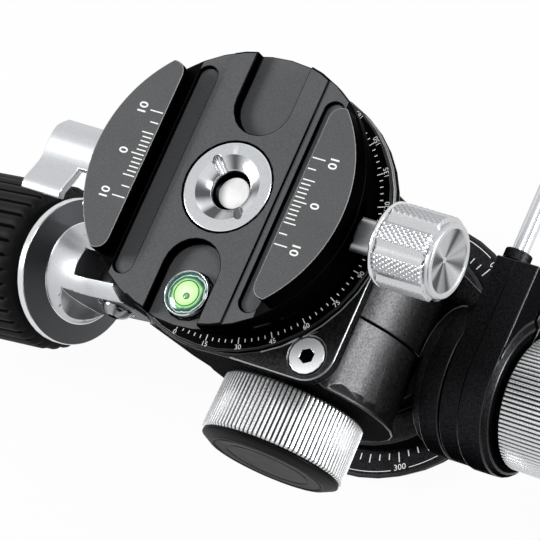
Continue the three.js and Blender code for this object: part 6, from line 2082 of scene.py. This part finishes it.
@dataclass
class Studio:
    """Camera, lamps, dark cards, floor and a white surround."""

    camera_place: tuple[float, float, float] = (0.50919, -0.22012, 0.93526)
    right: tuple[float, float, float] = (0.8300, 0.3988, -0.3902)
    down: tuple[float, float, float] = (0.2551, -0.8933, -0.3701)
    lens: float = 319.6
    sensor: float = 36.0
    aim: tuple[float, float, float] = (0.0, 0.0, 0.06)
    lamps: tuple[SoftLamp, ...] = (
        SoftLamp("left_soft_box", (-0.85, -0.2, 0.8), 0.4, 9.0),
        SoftLamp("top_soft_box", (0.46, 0.36, 1.03), 0.32, 3.6),
        SoftLamp("low_right_soft_box", (0.85, 0.2, 0.14), 0.25, 8.0),
    )
    cards: tuple[DarkCard, ...] = (
        DarkCard("card_behind_camera", (0.66, -0.3, 1.25), 0.8),
        DarkCard("card_at_right", (1.05, 0.15, 0.75), 0.7),
        DarkCard("card_at_front_right", (0.6, -0.85, 0.42), 0.8),
    )
    clip_start: float = 0.01
    clip_end: float = 100.0
    card_colour: str = "#0a0a0a"
    card_roughness: float = 0.9
    spread_light: float = 0.2
    floor_half: float = 4.0
    floor_drop: float = 0.0004
    floor_tone: float = 0.82
    floor_white: float = 0.96

    def build(self) -> None:
        """Sets up everything that isn't part of the object."""
        self.set_camera()
        for lamp in self.lamps:
            self.hang(lamp)
        for card in self.cards:
            self.stand(card)
        self.set_surround()
        self.lay_floor()
        bpy.context.scene.view_settings.view_transform = "Standard"

    def set_camera(self) -> None:
        """Stands the camera at the fitted place and looks at the clamp."""
        lens = bpy.data.cameras.new("camera")
        lens.lens = self.lens
        lens.sensor_width = self.sensor
        lens.clip_start = self.clip_start
        lens.clip_end = self.clip_end
        made = bpy.data.objects.new("camera", lens)
        bpy.context.scene.collection.objects.link(made)
        across = Vector(self.right).normalized()
        up = -Vector(self.down).normalized()
        back = across.cross(up).normalized()
        up = back.cross(across).normalized()
        turn = Matrix((across, up, back)).transposed().to_4x4()
        made.matrix_world = Matrix.Translation(Vector(self.camera_place)) @ turn
        bpy.context.scene.camera = made

    def hang(self, lamp: SoftLamp) -> None:
        """Hangs one soft box and turns it to the object.

        Args:
            lamp: The soft box.
        """
        light = bpy.data.lights.new(lamp.name, "AREA")
        light.shape = "SQUARE"
        light.size = lamp.size
        light.energy = lamp.power
        made = bpy.data.objects.new(lamp.name, light)
        bpy.context.scene.collection.objects.link(made)
        made.location = lamp.place
        made.rotation_mode = "QUATERNION"
        made.rotation_quaternion = (Vector(self.aim) - Vector(lamp.place)).to_track_quat("-Z", "Y")

    def stand(self, card: DarkCard) -> None:
        """Stands one black card and turns it to the object.

        Args:
            card: The card, which no camera sees.
        """
        made = new_object(card.name, flat_square(card.size / 2, 0))
        turn = (Vector(self.aim) - Vector(card.place)).to_track_quat("-Z", "Y")
        made.matrix_world = Matrix.Translation(Vector(card.place)) @ turn.to_matrix().to_4x4()
        if "black_card" not in bpy.data.materials:
            black = bpy.data.materials.new("black_card")
            black.use_nodes = True
            shader = black.node_tree.nodes["Principled BSDF"]
            shader.inputs["Base Color"].default_value = linear(self.card_colour)
            shader.inputs["Roughness"].default_value = self.card_roughness
        made.data.materials.append(bpy.data.materials["black_card"])
        made.visible_camera = False
        made.visible_diffuse = False
        made.visible_shadow = False

    def shown_directly(self, tree: bpy.types.NodeTree) -> bpy.types.NodeSocket:
        """Tells the rays that show a surface from the light that it spreads.

        Args:
            tree: Node tree of the material or the world.

        Returns:
            One for rays of the camera, of reflections and through glass, and zero for the rest.
        """
        path = add_node(tree, "ShaderNodeLightPath")
        seen = path.outputs["Is Camera Ray"]
        for other in ("Is Glossy Ray", "Is Transmission Ray"):
            seen = add_node(
                tree, "ShaderNodeMath", {"operation": "MAXIMUM"}, {0: seen, 1: path.outputs[other]}
            ).outputs["Value"]
        return seen

    def set_surround(self) -> None:
        """Makes the surround white to the eye and in reflections, and a soft grey light otherwise."""
        world = bpy.data.worlds.new("surround")
        bpy.context.scene.world = world
        world.use_nodes = True
        tree = world.node_tree
        tree.nodes.clear()
        lit = add_node(
            tree, "ShaderNodeBackground", {"Color": (1, 1, 1, 1), "Strength": self.spread_light}
        )
        white = add_node(tree, "ShaderNodeBackground", {"Color": (1, 1, 1, 1), "Strength": 1.0})
        both = add_node(
            tree, "ShaderNodeMixShader",
            links={
                0: self.shown_directly(tree),
                1: lit.outputs["Background"],
                2: white.outputs["Background"],
            },
        )
        add_node(tree, "ShaderNodeOutputWorld", links={"Surface": both.outputs["Shader"]})

    def lay_floor(self) -> None:
        """Lays a pale floor that reads white and keeps a faint shadow."""
        floor = new_object("floor", flat_square(self.floor_half, -self.floor_drop))
        paper = bpy.data.materials.new("white_paper_floor")
        paper.use_nodes = True
        tree = paper.node_tree
        tree.nodes.clear()
        tone = self.floor_tone
        matt = add_node(tree, "ShaderNodeBsdfDiffuse", {"Color": (tone, tone, tone, 1)})
        white = add_node(tree, "ShaderNodeEmission", {"Color": (1, 1, 1, 1), "Strength": 1.0})
        share = add_node(
            tree, "ShaderNodeMath", {"operation": "MULTIPLY", 1: self.floor_white},
            {0: self.shown_directly(tree)},
        )
        both = add_node(
            tree, "ShaderNodeMixShader",
            links={0: share.outputs["Value"], 1: matt.outputs["BSDF"], 2: white.outputs["Emission"]},
        )
        add_node(tree, "ShaderNodeOutputMaterial", links={"Surface": both.outputs["Shader"]})
        floor.data.materials.append(paper)


def main() -> None:
    """Builds the head piece by piece and sets up the studio."""
    logging.basicConfig(level=logging.INFO, format="%(message)s")
    Studio().build()
    assemblies: list[Assembly] = [
        PanBase(),
        PanStage(),
        TiltAxis(),
        FlutedKnob(
            node="tilt_knob", body="tilt_lock", place=along_x(TILT_KNOB_X, TILT_Y, TILT_Z),
            inner_radius=15.0, outer_radius=15.4, length=15.5,
        ),
        FlutedKnob(
            node="roll_knob", body="roll_lock", place=towards_front(ROLL_X, ROLL_KNOB_Y, ROLL_Z)
        ),
        UpperStage(),
        QuickClamp(),
        ClampKnob(),
        BullseyeLevel(),
        FoldingHandle(),
    ]
    for assembly in assemblies:
        assembly.build()
        assembly.report()


if __name__ == "__main__":
    main()
